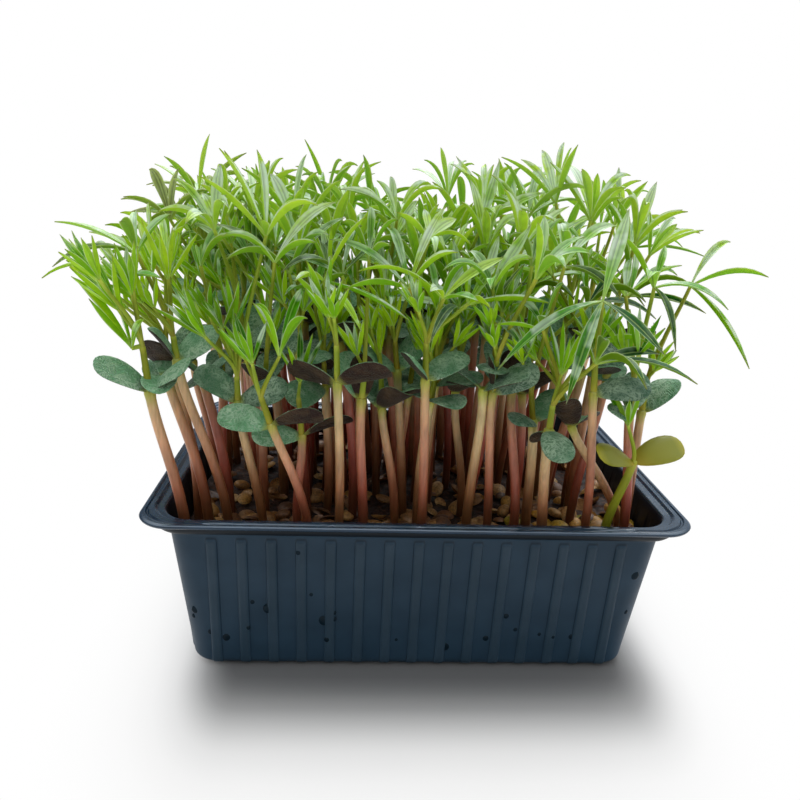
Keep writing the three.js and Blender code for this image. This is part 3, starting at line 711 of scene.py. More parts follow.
class Growth:
    # gathers the organs of one plant into one mesh, with a "growth" attribute for the materials:
    # tone of the organ, place along it, place across it, and 0 below to 1 above
    def __init__(self):
        self.points, self.faces, self.slots, self.growth, self.count = [], [], [], [], 0

    def add(self, template, placed, slot, tone):
        local = template["points"]
        self.points.append(placed)
        self.faces.extend(tuple(self.count + i for i in face) for face in template["faces"])
        self.slots.extend([slot] * len(template["faces"]))
        above = 0.5 + 0.5 * np.clip(local[:, 1] * 5, -1, 1)
        tones = np.full(len(local), tone)
        self.growth.append(np.stack([tones, local[:, 2], local[:, 0] / 2 + 0.5, above], 1))
        self.count += len(local)

    def toObject(self, name, materials):
        mesh = bpy.data.meshes.new(name)
        mesh.from_pydata((np.concatenate(self.points) * mm).tolist(), [], self.faces)
        for material in materials:
            mesh.materials.append(material)
        mesh.polygons.foreach_set("material_index", self.slots)
        attribute = mesh.attributes.new("growth", "FLOAT_COLOR", "POINT")
        attribute.data.foreach_set("color", np.concatenate(self.growth).astype(np.float32).ravel())
        piece = bpy.data.objects.new(name, mesh)
        bpy.context.collection.objects.link(piece)
        deselectAll()
        piece.select_set(True)
        bpy.context.view_layer.objects.active = piece
        finishMesh(60)
        return piece


# Plant materials


def growthParts(tree):
    colour = addNode(tree, "Attribute", attribute_name="growth")
    parts = addNode(tree, "SeparateColor", (colour,)).node.outputs
    return {"tone": parts[0], "along": parts[1], "across": parts[2], "above": colour.node.outputs["Alpha"]}


def livingTissue(roughness, glow, reach):
    # a waxy surface over wet cells that let light through, for the given mm of red, green and blue
    return {"Roughness": roughness, "IOR": 1.42, "Subsurface Weight": glow, "Subsurface Radius": reach,
            "Subsurface Scale": mm}


def silverDown(weight, colour):
    # short silver down that pales the surface at its turning edges
    return {"Sheen Weight": weight, "Sheen Roughness": 0.45, "Sheen Tint": colour}


def paintOver(tree, skin, colour, part, stops):
    # lays a colour over the skin, as strongly as the stops say along that part of the growth
    amount = addNode(tree, "ValToRGB", (part,), stops=stops)
    return addNode(tree, "Mix", (amount, skin, colour), **layer)


# the dark stops at the foot are partly painted shade low in the tray
stemColours = {
    "pink": [
        (0.0, "#3a2410"), (0.16, "#6b3a24"), (0.36, "#b05442"), (0.62, "#cc7866"), (0.86, "#cf9570"),
        (0.97, "#bdb34e"),
    ],
    "cream": [
        (0.0, "#3f2a10"), (0.16, "#754c28"), (0.36, "#b07c52"), (0.66, "#dcbe8a"), (0.88, "#dfcc94"),
        (0.97, "#b3ba4a"),
    ],
}


def makeStemSkin():
    # lupin hypocotyl: smooth juicy skin, pink to cream, darker towards the foot where it is damp and where
    # shade is painted low among the plants
    material, tree, shader = newMaterial("lupin_stem_skin")
    grown = growthParts(tree)
    pink = addNode(tree, "ValToRGB", (grown["along"],), stops=stemColours["pink"])
    cream = addNode(tree, "ValToRGB", (grown["along"],), stops=stemColours["cream"])
    skin = addNode(tree, "Mix", (grown["tone"], pink, cream), **layer)
    streaks = mottle(tree, 0.9, [(0.3, 0.78), (0.6, 1.0)], (1, 1, 0.08))
    blotches = mottle(tree, 9, [(0.35, 0.82), (0.65, 1.05)])
    for shade in (streaks, blotches):
        skin = addNode(tree, "Mix", (1.0, skin, shade), **tint)
    setInputs(shader, {"Base Color": skin, **livingTissue(0.36, 0.35, (2.4, 0.9, 0.5))})
    return material


shootColours = {
    "fresh": [(0.0, "#b0b443"), (0.3, "#97ac34"), (0.8, "#8ca42e"), (1.0, "#b7cb4c")], "warm": "#e6ba8c",
}


def makeShootSkin():
    # epicotyl and petioles: fresh yellow green, faintly downy
    material, tree, shader = newMaterial("lupin_shoot_skin")
    grown = growthParts(tree)
    skin = addNode(tree, "ValToRGB", (grown["along"],), stops=shootColours["fresh"])
    warm = addNode(tree, "Mix", (grown["tone"], white, shootColours["warm"]), **layer)
    skin = addNode(tree, "Mix", (1.0, skin, warm), **tint)
    setInputs(shader, {
        "Base Color": skin, "Specular IOR Level": 0.25, **livingTissue(0.45, 0.3, (1.2, 1.0, 0.4))})
    return material


seedLeafColours = {
    "dark": "#1e4e32", "mid": "#62a070", "bloom": "#dcf4d8", "down": "#d6f0e0", "rim": "#8db684",
    "foot": "#a3ab48", "under": [(0.4, "#2c1a14"), (0.75, "#4c3a28")],
}


def makeCotyledonSkin():
    # seed leaf: thick and blue green, finely wrinkled above with pale bloom on its crests, dark brown below
    material, tree, shader = newMaterial("lupin_seed_leaf")
    grown = growthParts(tree)
    where = addNode(tree, "TexCoord", out="Object")
    wander = addNode(tree, "TexNoise", {"Vector": where, "Scale": 1 / (4 * mm)}, out="Color")
    shifted = addNode(tree, "VectorMath", (wander, (4 * mm,) * 3), operation="MULTIPLY")
    creased = addNode(tree, "VectorMath", (where, shifted), operation="ADD")
    folds = addNode(tree, "TexNoise", {"Vector": creased, "Scale": 1 / (1.3 * mm), "Detail": 3.5})
    wrinkles = addNode(tree, "ValToRGB", (folds,), stops=[(0.37, 0.0), (0.5, 1.0), (0.63, 0.0)])
    crests = addNode(tree, "ValToRGB", (wrinkles,), stops=[(0.1, 0.16), (1.0, 0.6)])
    base = addNode(tree, "Mix", (grown["tone"], seedLeafColours["dark"], seedLeafColours["mid"]), **layer)
    patches = mottle(tree, 6.0, [(0.35, 0.2), (0.65, 1.0)])
    pale = addNode(tree, "Math", (patches, crests), operation="MULTIPLY")
    upper = addNode(tree, "Mix", (pale, base, seedLeafColours["bloom"]), **layer)
    under = mottle(tree, 5.0, seedLeafColours["under"])
    skin = paintOver(tree, under, upper, grown["above"], [(0.48, 0.0), (0.56, 1.0)])
    edge = [(0.35, 0.0), (0.5, 0.8), (0.62, 0.0)]
    skin = paintOver(tree, skin, seedLeafColours["rim"], grown["above"], edge)
    skin = paintOver(tree, skin, seedLeafColours["foot"], grown["along"], [(0.03, 1.0), (0.15, 0.0)])
    bump = addNode(tree, "Bump", {"Height": wrinkles, "Strength": 0.8, "Distance": 0.35 * mm})
    setInputs(shader, {
        "Base Color": skin, "Normal": bump, "Specular IOR Level": 0.2,
        **livingTissue(0.48, 0.1, (0.8, 1.0, 0.5)), **silverDown(0.1, seedLeafColours["down"])})
    return material


leafColours = {
    # by tone: bronze, then old to young
    "blade": [(0.0, "#7c7440"), (0.1, "#124a0c"), (0.5, "#5aac08"), (1.0, "#bce41a")],
    "under": "#98c00a", "rib": "#cfe48c", "margin": "#c4dca4", "tip": "#6d5b34", "foot": "#b6cf6c",
    "bloom": "#def4da", "down": "#e2f6e4",
    # painted light: over this span of height leaves are painted paler and get more bloom
    "high": "#cdec84", "paintedLightFrom": 138, "paintedLightTo": 176,  # mm, over which leaves get paler and more bloom
}


def makeLeafSkin():
    # true leaf: green leaflets with a silky pale bloom that is partly painted highlight, a pale sunken midrib
    # with painted shade beside it and pale margins; light comes through the thin blade and makes the
    # undersides yellow green
    material, tree, shader = newMaterial("lupin_leaflet")
    grown = growthParts(tree)
    blade = addNode(tree, "ValToRGB", (grown["tone"],), stops=leafColours["blade"])
    streaks = mottle(tree, 3.0, [(0.3, 0.78), (0.7, 1.1)])
    blade = addNode(tree, "Mix", (1.0, blade, streaks), **tint)
    # painted light: the topmost leaves are painted the palest and get most of the bloom, for the bright light
    # on the top of the canopy
    height = addNode(tree, "SeparateXYZ", (addNode(tree, "TexCoord", out="Object"),), out="Z")
    high = addNode(tree, "MapRange", (height, leafColours["paintedLightFrom"] * mm, leafColours["paintedLightTo"] * mm))
    paintedTopLight = addNode(tree, "Math", (high, 0.4), operation="MULTIPLY")
    blade = addNode(tree, "Mix", (paintedTopLight, blade, leafColours["high"]), **layer)
    # silky bloom and painted highlight: pale mint patches on the upper faces
    bloomAndPaintedHighlight = mottle(tree, 9.0, [(0.47, 0.0), (0.57, 0.9)])
    topBloomAndPaintedLight = mottle(tree, 7.0, [(0.36, 0.0), (0.5, 1.0)])
    bloom = addNode(tree, "Mix", (high, bloomAndPaintedHighlight, topBloomAndPaintedLight), **layer)
    downy = addNode(tree, "ValToRGB", (grown["tone"],), stops=[(0.12, 0.15), (0.42, 1.0)])
    bloom = addNode(tree, "Math", (bloom, downy), operation="MULTIPLY")
    upper = addNode(tree, "Mix", (bloom, blade, leafColours["bloom"]), **layer)
    fromRib = addNode(tree, "Math", (grown["across"], 0.5), operation="SUBTRACT")
    fromRib = addNode(tree, "Math", (fromRib,), operation="ABSOLUTE")
    # painted shade in the groove either side of the midrib
    paintedGrooveShade = addNode(tree, "ValToRGB", (fromRib,), stops=[(0.06, 1.0), (0.12, 0.62), (0.3, 1.0)])
    upper = addNode(tree, "Mix", (1.0, upper, paintedGrooveShade), **tint)
    upper = paintOver(tree, upper, leafColours["rib"], fromRib, [(0.02, 0.34), (0.09, 0.0)])
    under = addNode(tree, "Mix", (0.4, blade, leafColours["under"]), **layer)
    skin = paintOver(tree, under, upper, grown["above"], [(0.46, 0.0), (0.54, 1.0)])
    skin = paintOver(tree, skin, leafColours["margin"], fromRib, [(0.4, 0.0), (0.48, 0.7)])
    skin = paintOver(tree, skin, leafColours["tip"], grown["along"], [(0.86, 0.0), (1.0, 0.6)])
    skin = paintOver(tree, skin, leafColours["foot"], grown["along"], [(0.02, 0.7), (0.16, 0.0)])
    setInputs(shader, {
        "Base Color": skin, "Specular IOR Level": 0.14,
        **livingTissue(0.38, 0.16, (1.0, 1.3, 0.2)), **silverDown(0.1, leafColours["down"])})
    return material


plantMaterials = [makeStemSkin(), makeShootSkin(), makeCotyledonSkin(), makeLeafSkin()]
stemSlot, shootSlot, cotyledonSlot, leafSlot = range(4)

looks = np.random.default_rng(7)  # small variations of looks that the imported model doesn't need

stemShape = {"girth": (0.74, 0.96), "radius": 2.0, "taper": 0.3, "swelling": 0.3, "buried": 7.0}


def addStem(plant, grown, tone, slot):
    t = stemTemplate["points"][:, 2]
    start, *pulls = (np.array(p) for p in grown["pulls"])
    rooted = start - np.array([0, 0, stemShape["buried"]])  # the foot goes down into the medium
    girth = looks.uniform(*stemShape["girth"])
    # a slight taper, a swollen node where the seed leaves join, and a rounded top
    swelling = stemShape["swelling"] * np.exp(-((0.975 - t) / 0.03) ** 2)
    roundTop = 0.55 + 0.45 * np.clip((1 - t) / 0.015, 0, 1) ** 0.5
    radius = girth * (stemShape["radius"] - stemShape["taper"] * t + swelling) * roundTop
    placed = layStrand(stemTemplate, lambda s: cubic((rooted, *pulls), s), (1, 0, 0), radius, radius)
    plant.add(stemTemplate, placed, slot, tone)


seedLeaf = {
    "half": 6.2, "depth": 0.8, "cup": (-0.6, 1.2), "ripple": 0.5, "twist": (-0.3, 0.3), "droop": 6.0,
    # radians that a seed leaf leans to the light in front, and the share of them that lean back
    "forwards": (0.2, 0.9), "backwards": (-0.8, -0.35), "backShare": 0.2,
}


def addCotyledon(plant, made, tone, slot):
    # a blunt spoon: narrow at its foot, broad and rounded beyond the middle, its face turned to the light
    points = cotyledonTemplate["points"]
    t, a = points[:, 2], points[:, 0]
    half = seedLeaf["half"] * (0.72 + 0.34 * t) * made["length"] / cotyledon["length"]
    cup = looks.uniform(*seedLeaf["cup"])
    lift = cup * a ** 2 + seedLeaf["ripple"] * np.sin(a * 3 + looks.uniform(0, 6)) * t
    start, middle, end = (np.array(p) for p in made["path"])
    out = end - start
    leansBack = looks.uniform() < seedLeaf["backShare"]
    facing = looks.uniform(*seedLeaf["backwards" if leansBack else "forwards"])
    sideways = abs(out[0]) / math.hypot(out[0], out[1])
    droop = facing * (1 - sideways) * math.copysign(seedLeaf["droop"], -out[1])
    path = (start, middle - (0, 0, droop * 0.3), end - (0, 0, droop))
    roll = facing * sideways * (1 if out[0] > 0 else -1)
    up = np.cross(out, made["across"])
    up /= np.linalg.norm(up)
    across = np.array(made["across"]) * math.cos(roll) + up * math.sin(roll)
    placed = layStrand(cotyledonTemplate, lambda s: arc(path, s), across, half, seedLeaf["depth"], lift,
                       looks.uniform(*seedLeaf["twist"]))
    plant.add(cotyledonTemplate, placed, slot, tone)


stalkRadii = {"shoot": (1.15, 0.95), "petiole": (0.85, 0.6), "young": (0.75, 0.55)}  # mm, foot and head


def addStalk(plant, pulls, kind, tone):
    t = stalkTemplate["points"][:, 2]
    chord = np.array(pulls[3]) - np.array(pulls[0])
    across = (1, 0, 0) if abs(chord[0]) < np.linalg.norm(chord) * 0.7 else (0, 1, 0)
    foot, head = stalkRadii[kind]
    radius = foot + (head - foot) * t
    placed = layStrand(stalkTemplate, lambda s: cubic(pulls, s), across, radius, radius)
    plant.add(stalkTemplate, placed, shootSlot, tone)


leafShape = {
    "width": (0.85, 1.2), "arch": (-0.2, 3.2), "fold": (0.35, 0.95), "curl": (-0.7, 0.7),
    # partly painted shade: lower leaves get a darker tone, as older leaves and as shade deep in the canopy
    "darkerBelow": 146, "darkeningSpan": 50,  # mm: the lower leaves are older and darker
    "bronzeShare": 0.3, "bronzeEnd": -80,
}


def addLeaflet(plant, path, across, width, fold, tone, curl):
    # a narrow blade folded along its midrib, broadest beyond the middle
    points = leafletTemplate["points"]
    t, a = points[:, 2], points[:, 0]
    outline = 0.16 * (1 - t) + np.sin(np.pi * np.clip(t, 0, 1) ** 1.12) ** 1.05
    half = width / 2 * outline * math.cos(fold)
    depth = 0.16 + 0.22 * (1 - t)
    lift = np.abs(a) * width / 2 * outline * math.sin(fold) - (1 - np.abs(a)) * 0.15
    placed = layStrand(leafletTemplate, lambda s: arc(path, s), across, half, depth, lift, curl)
    plant.add(leafletTemplate, placed, leafSlot, tone)


def addLeaf(plant, leaf, tone):
    addStalk(plant, leaf["pulls"], "petiole", looks.uniform(0, 0.6))
    bronze = looks.uniform() < leafShape["bronzeShare"] and leaf["pulls"][3][0] < leafShape["bronzeEnd"]
    for made in leaf["leaflets"]:
        width = leaflet["width"] * looks.uniform(*leafShape["width"])
        start, middle, end = (np.array(p) for p in made["path"])
        arch = np.array([0, 0, looks.uniform(*leafShape["arch"])])
        path = (start, (start + end) / 2 + (middle - (start + (end - start) * 0.55)) + arch, end)
        # the lower the leaflet, the darker its tone: age, and painted shade deep in the canopy
        age = np.clip((leafShape["darkerBelow"] - end[2]) / leafShape["darkeningSpan"], -0.3, 0.5)
        leafletTone = 0.0 if bronze else float(np.clip(tone - age + looks.uniform(-0.3, 0.3), 0.1, 1))
        addLeaflet(plant, path, made["across"], width, looks.uniform(*leafShape["fold"]), leafletTone,
                   looks.uniform(*leafShape["curl"]))


tuft = {
    "outsideEnd": -58, "frontRow": -20,  # mm: there are more tufts at the left end and along the front
    "outsideReach": (6, 26), "reach": (4, 15), "length": (10, 19), "width": 2.5, "fold": (0.5, 1.0),
    "curl": (-0.5, 0.5),
}


def addYoungLeaves(plant, tip, up, tone):
    # tufts of folded young leaves at the shoot's tip, on short stalks
    end = np.array(tip)
    up = np.array(up)
    outside = end[0] < tuft["outsideEnd"]
    if outside:
        tuftCount = int(looks.integers(3, 6))
    else:
        tuftCount = int(looks.integers(1, 4)) if end[1] < tuft["frontRow"] else 1
    for i in range(tuftCount):
        lean = np.array(direction(looks.uniform(0, 2 * math.pi), 0.0)) * looks.uniform(0.15, 0.6)
        if outside:
            lean += np.array([-0.4, 0, 0])
        axis = np.array(unit(tuple(up + lean)))
        reach = looks.uniform(*tuft["outsideReach" if outside else "reach"])
        hub = end + axis * reach
        pulls = (end, end + up * reach * 0.3, hub - axis * reach * 0.3, hub)
        addStalk(plant, pulls, "young", looks.uniform(0, 0.5))
        leafletCount = int(looks.integers(5, 8))
        turn = looks.uniform(0, 6)
        length = looks.uniform(*tuft["length"])
        for k in range(leafletCount):
            spoke = np.array(direction(turn + k * 2 * math.pi / leafletCount, 0.0))
            out = np.array(unit(tuple(axis + spoke * looks.uniform(0.15, 0.7))))
            tip = hub + out * length * looks.uniform(0.8, 1.1)
            across = unit(cross(tuple(axis), tuple(spoke)))
            addLeaflet(plant, (hub, (hub + tip) / 2 + spoke * 0.6, tip), across, tuft["width"],
                       looks.uniform(*tuft["fold"]), float(np.clip(tone + looks.uniform(-0.2, 0.2), 0, 1)),
                       looks.uniform(*tuft["curl"]))


# the youngest seedling is still olive green all over, with only tufts between its seed leaves
youngest = {"name": "grown_seedling_24", "stemTone": 0.6, "cotyledonTone": 0.8}


def makeSeedling(name, grown):
    plant = Growth()
    young = name == youngest["name"]
    shoot = grown["shoot"]
    plantTone = looks.uniform(0, 1) ** 1.3  # a few more pink stems than cream ones
    addStem(plant, grown, youngest["stemTone"] if young else plantTone, shootSlot if young else stemSlot)
    for made in grown["cotyledons"]:
        tone, slot = looks.uniform(0, 1), cotyledonSlot
        if young:
            tone, slot = youngest["cotyledonTone"], shootSlot
        addCotyledon(plant, made, tone, slot)
    if shoot["pulls"]:
        shootTone = looks.uniform(0.2, 0.9)
        if young:
            shoot = {"end": shoot["pulls"][0], "leaves": []}
        else:
            addStalk(plant, shoot["pulls"], "shoot", shootTone)
        addYoungLeaves(plant, shoot["end"], grown["up"], looks.uniform(0.25, 0.95))
    for leaf in shoot["leaves"]:
        addLeaf(plant, leaf, looks.uniform(0.1, 1.05))
    piece = plant.toObject(name, plantMaterials)
    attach(piece, "root")
    return piece


for index, grown in enumerate(seedlings):
    name = f"seedling_{index + 1:02d}"
    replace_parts(makeSeedling("grown_" + name, grown), name)
for index, grown in enumerate(thicketSeedlings):
    makeSeedling(f"thicket_seedling_{index + 1:02d}", grown)
print("seedlings modelled")

# Tray: a grid wrapped round the tray's outline, its rows following the wall's section

wallRib = {
    "pitch": 10, "half": 2.0, "edge": 0.6, "proud": 0.8, "front": 15, "side": 10,
    "head": 54.6, "headSlope": 2.6, "foot": 0.5, "footSlope": 1.2,
    "columns": (-2.4, -2.0, -1.65, -1.3, -0.6, 0.6, 1.3, 1.65, 2.0, 2.4, 3.8, 5.0),  # mm from a rib's middle
}
skinOut = 0.2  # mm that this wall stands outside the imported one
straightReach = (73.0, 48.0)  # half of the ribbed part of a long and of a short side
rimGroove = {
    "outer": 1.3, "inner": 2.9, "depth": 0.6, "fade": 7,
    "ticks": (-60, -29.5, -1, 16, 31, 46), "tickHeight": 0.45,  # small steps across its front
}


def sidePlaces(count, reach):
    # columns gather at the edges of the ribs
    places = [-reach, reach]
    for i in range(count):
        middle = (i - (count - 1) / 2) * wallRib["pitch"]
        for offset in wallRib["columns"]:
            if middle + offset < reach - 0.4:
                places.append(middle + offset)
    return sorted(places)


def trayColumns():
    columns = []
    cornerSteps = 24
    for side in range(4):
        long = side % 2 == 0
        reach = straightReach[side % 2]
        places = sidePlaces(wallRib["front"] if long else wallRib["side"], reach)
        columns += [("straight", side, place) for place in places[:-1]]
        columns += [("corner", side, i / cornerSteps) for i in range(cornerSteps)]
    columns.append(columns[0])
    return columns


def outlinePoint(column, inset, radius):
    # a point of the rounded outline and its outward direction
    kind, side, place = column
    tangent = ((-1, 0), (0, -1), (1, 0), (0, 1))[side]
    normal = ((0, 1), (-1, 0), (0, -1), (1, 0))[side]
    halves = (tray["length"] / 2 - inset - radius, tray["width"] / 2 - inset - radius)
    along, out = halves if side % 2 == 0 else halves[::-1]

    def at(alongWay, outWay):
        return tuple(t * alongWay + n * outWay for t, n in zip(tangent, normal))

    if kind == "straight":
        beyond = max(abs(place) - along, 0)
        return at(place, out + math.sqrt(max(radius * radius - beyond * beyond, 0))), normal
    first, last = straightReach[side % 2], straightReach[1 - side % 2]
    firstTurn = math.asin(max(first - along, 0) / radius)
    lastTurn = math.asin(max(last - out, 0) / radius)
    before, after = max(along - first, 0), max(out - last, 0)
    bendLength = radius * (math.pi / 2 - firstTurn - lastTurn)
    way = place * (before + bendLength + after)
    if way < before:
        return at(first + way, out + radius), normal
    if way > before + bendLength:
        return at(along + radius, out - (way - before - bendLength)), tangent
    turn = firstTurn + (way - before) / radius
    return (at(along + radius * math.sin(turn), out + radius * math.cos(turn)),
            at(math.sin(turn), math.cos(turn)))


def smoothStep(value):
    value = min(max(value, 0.0), 1.0)
    return value * value * (3 - 2 * value)


def ribShare(column, z):
    # 1 on the face of a rib, 0 on the wall between ribs and above their sloping heads
    kind, side, place = column
    count = wallRib["front"] if side % 2 == 0 else wallRib["side"]
    if kind == "corner" or abs(place) > count / 2 * wallRib["pitch"]:
        return 0.0
    near = (place / wallRib["pitch"] + count / 2) % 1 - 0.5
    across = abs(near) * wallRib["pitch"]
    outside = across - wallRib["half"]
    head = smoothStep((wallRib["head"] - z) / wallRib["headSlope"])
    foot = smoothStep((z - wallRib["foot"]) / wallRib["footSlope"] + 0.4)
    return smoothStep(-outside / wallRib["edge"]) * head * foot


def wallInset(z):
    return tray["wallInset"] - skinOut + tray["draft"] * (1 - z / tray["height"])


def traySection():
    # rows of (inset, corner radius, height, 1 where the ribs stand out, outward share of the normal)
    rows = []
    top = tray["height"]
    foot = wallInset(tray["baseRound"])
    for i in range(9):
        angle = math.pi / 2 * (1 - i / 8)
        inset = foot + tray["baseRound"] * (1 - math.cos(angle))
        z = tray["baseRound"] * (1 - math.sin(angle))
        rows.append((inset, tray["wallCorner"], z, 1.0, math.cos(angle)))
    for z in (7, 12, 18, 24, 30, 36, 42, 47, 50, 51.4, 52, 52.5, 52.9, 53.2, 53.5, 54.2, 55.2):
        rows.append((wallInset(z), tray["wallCorner"], z, 1.0, 1.0))
    for inset, radius, drop in (
            # shoulder and skirt
            (8.05, 8.2, 6.9), (7.4, 8.4, 6.6), (6.4, 8.8, 6.2), (5.2, 9.6, 5.6), (4.4, 10.4, 4.9),
            (3.9, 10.8, 4.0), (3.6, 11.0, 2.8), (3.45, 11.0, 1.9), (3.1, 10.6, 1.5), (2.2, 10.0, 1.4),
            # lip and edge
            (1.1, 10.2, 1.4), (0.85, 10.8, 1.6), (0.65, 11.0, 1.65), (0.45, 11.2, 1.55), (0.2, 11.4, 1.25),
            (0.05, 11.5, 0.95), (0.0, 11.5, 0.7), (0.12, 11.5, 0.45), (0.35, 11.5, 0.25), (0.65, 11.6, 0.08),
            # groove and bead
            (0.95, 11.7, 0.0), (1.25, 11.8, 0.05), (1.55, 12.0, 0.35), (1.85, 12.2, 0.6), (2.15, 12.4, 0.62),
            (2.45, 12.6, 0.45), (2.8, 12.8, 0.22), (3.1, 13.0, 0.05), (3.4, 13.2, 0.0), (3.7, 13.4, 0.04),
            (3.95, 13.5, 0.25), (4.2, 13.5, 0.6),
            # ledge inside the rim
            (4.4, 13.4, 0.85), (5.0, 13.0, 0.95), (6.2, 11.8, 1.0), (6.9, 10.8, 1.15), (7.4, 10.2, 1.5),
            (7.8, 9.6, 2.2), (8.2, 8.8, 3.6), (8.5, 8.0, 5.2)):
        rows.append((inset, radius, top - drop, 0.0, 1.0))
    for z in (52, 44, 36, 28, 20, 12, 7):
        rows.append((wallInset(z) + tray["wall"], tray["wallCorner"] - tray["wall"], z, 0.6, 1.0))
    rows.append((foot + 2.6, tray["wallCorner"] - 2, 2.6, 0.0, 1.0))
    rows.append((foot + 5, tray["wallCorner"] - 3, 1.0, 0.0, 1.0))
    return rows


# colours between which the haze varies, roughness and strength of the reflection
trayFinishes = {
    "formed_black_polystyrene": ("#263f52", "#2f495d", 0.4, 0.22),
    "smooth_black_rim": ("#22384e", "#2b465e", 0.18, 0.42),
}
ribFace = [(0.3, "#2c4353"), (0.7, "#374d5e")]
# painted shade: near black for the shoulder under the lip and the inside of the tray
paintedShadeInside = "#0a131b"
rimDepth = 1.7  # mm below the top that have the rim's finish


def makeTrayPlastic(name, low, high, satin, gloss):
    # black polystyrene sheet, vacuum formed: dull with a blue cast on the walls, drawn thinner on the ribs,
    # smoother and shinier along the rim
    material, tree, shader = newMaterial(name)
    formed = addNode(tree, "Attribute", attribute_name="formed")
    onRib, outside = addNode(tree, "SeparateColor", (formed,)).node.outputs[:2]
    haze = mottle(tree, 14, detail=3.0)
    wallColour = addNode(tree, "ValToRGB", (haze,), stops=[(0.3, low), (0.7, high)])
    ribColour = addNode(tree, "ValToRGB", (haze,), stops=ribFace)
    face = addNode(tree, "Mix", (onRib, wallColour, ribColour), **layer)
    # painted shade along the foot of each rib's flank and a painted highlight over its edge; the wall is
    # painted lighter towards its foot, standing in for light bounced up from the floor
    paintedRibEdgeLight = addNode(tree, "ValToRGB", (onRib,), stops=[(0.03, 1.0), (0.25, 0.55), (0.6, 1.25), (0.95, 1.0)])
    height = addNode(tree, "SeparateXYZ", (addNode(tree, "TexCoord", out="Object"),), out="Z")
    height = addNode(tree, "MapRange", (height, 0.0, tray["height"] * mm))
    # painted light: lighter towards the foot of the wall
    paintedFootLight = addNode(tree, "ValToRGB", (height,), stops=[(0.0, 1.0), (0.35, 0.72), (0.8, 0.68)])
    for shade in (paintedRibEdgeLight, paintedFootLight):
        face = addNode(tree, "Mix", (1.0, face, shade), **tint)
    # painted shade: the shoulder under the lip and the inside of the tray take the near black colour
    face = addNode(tree, "Mix", (outside, paintedShadeInside, face), **layer)
    wear = mottle(tree, 5, [(0.3, satin), (0.7, satin + 0.08)], detail=4.0)
    grain = addNode(tree, "Bump", {"Height": mottle(tree, 0.5), "Strength": 0.1, "Distance": 0.05 * mm})
    setInputs(shader, {
        "Base Color": face, "Roughness": wear, "IOR": 1.5, "Specular IOR Level": gloss, "Normal": grain})
    return material


def makeTray():
    layout = trayColumns()
    rows = traySection()
    columns = len(layout) - 1
    skirtRow = next(i for i, row in enumerate(rows) if row[3] == 0.0)
    lipRow = next(i for i, row in enumerate(rows) if row[0] < 1.2)
    innerRow = next(i for i, row in enumerate(rows) if row[0] >= 7.4 and i > lipRow)
    deselectAll()
    bpy.ops.mesh.primitive_grid_add(
        x_subdivisions=columns, y_subdivisions=len(rows) - 1, size=2, location=(0, 0, 0))
    piece = bpy.context.object
    piece.name = "ribbed_tray"
    formed = []
    for corner in piece.data.vertices:
        column = layout[round((corner.co.x + 1) / 2 * columns)]
        row = round((corner.co.y + 1) / 2 * (len(rows) - 1))
        inset, radius, z, sink, level = rows[row]
        (x, y), (nx, ny) = outlinePoint(column, inset, radius)
        share = ribShare(column, z) * sink
        move = share * wallRib["proud"]
        x, y = x + nx * move * level, y + ny * move * level
        if rimGroove["outer"] < inset < rimGroove["inner"] and z > tray["height"] - rimGroove["depth"]:
            # the groove fades out before the corners, and small steps cross it along the front
            reach = straightReach[column[1] % 2]
            fromEnd = reach - abs(column[2]) if column[0] == "straight" else 0
            z = tray["height"] - (tray["height"] - z) * smoothStep(fromEnd / rimGroove["fade"])
            if column[:2] == ("straight", 2):
                fromTick = min(abs(column[2] - tick) for tick in rimGroove["ticks"])
                z += rimGroove["tickHeight"] * max(0, 1 - fromTick)
        corner.co = (x * mm, y * mm, z * mm)
        # the second channel is 0 on the shoulder under the lip and inside the tray, where shade is painted
        formed.append((share, float(row < skirtRow or lipRow <= row < innerRow), 0.0, 1.0))
    attribute = piece.data.attributes.new("formed", "FLOAT_COLOR", "POINT")
    attribute.data.foreach_set("color", np.array(formed, np.float32).ravel())
    bpy.ops.object.mode_set(mode="EDIT")
    bpy.ops.mesh.select_all(action="SELECT")
    bpy.ops.mesh.remove_doubles(threshold=0.00001)
    bpy.ops.mesh.fill_holes(sides=0)
    finishMesh(50)
    for name, finish in trayFinishes.items():
        piece.data.materials.append(makeTrayPlastic(name, *finish))
    for face in piece.data.polygons:
        face.material_index = int(face.center.z > (tray["height"] - rimDepth) * mm)
    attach(piece, "root")
    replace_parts(piece, "tray")


makeTray()
print("tray modelled")

# Growing medium: what fills the tray under the roots

medium = {"gap": 0.4, "columns": 108, "rows": 78, "lump": 1.6, "edgeDip": 1.2, "footInwards": 1.6,
          "roundedOver": 20}


def insideOutline(u, v, z):
    # u and v from -1 to 1 spread over the tray's rounded inside at height z
    inset = tray["wallInset"] + tray["draft"] * (1 - z / tray["height"]) + tray["wall"] + medium["gap"]
    halfX, halfY = tray["length"] / 2 - inset, tray["width"] / 2 - inset
    share = max(abs(u), abs(v), 1e-6)
    x, y = u / share * halfX, v / share * halfY
    radius = tray["wallCorner"] - 1
    dx, dy = abs(x) - halfX + radius, abs(y) - halfY + radius
    if dx > 0 and dy > 0:
        size = math.hypot(dx, dy) / radius
        x = math.copysign(halfX - radius + dx / size, x)
        y = math.copysign(halfY - radius + dy / size, y)
    return x * share, y * share


def lumpHeight(x, y):
    # broad swells with crumbs on them
    spot = Vector((x, y, 0.0))
    return medium["lump"] * (noise.noise(spot * 0.22) * 0.5 + abs(noise.noise(spot * 0.55)) * 0.6 - 0.35)


crumbColours = [(0.32, "#0e0703"), (0.5, "#24130a"), (0.66, "#432513"), (0.8, "#6e4828")]


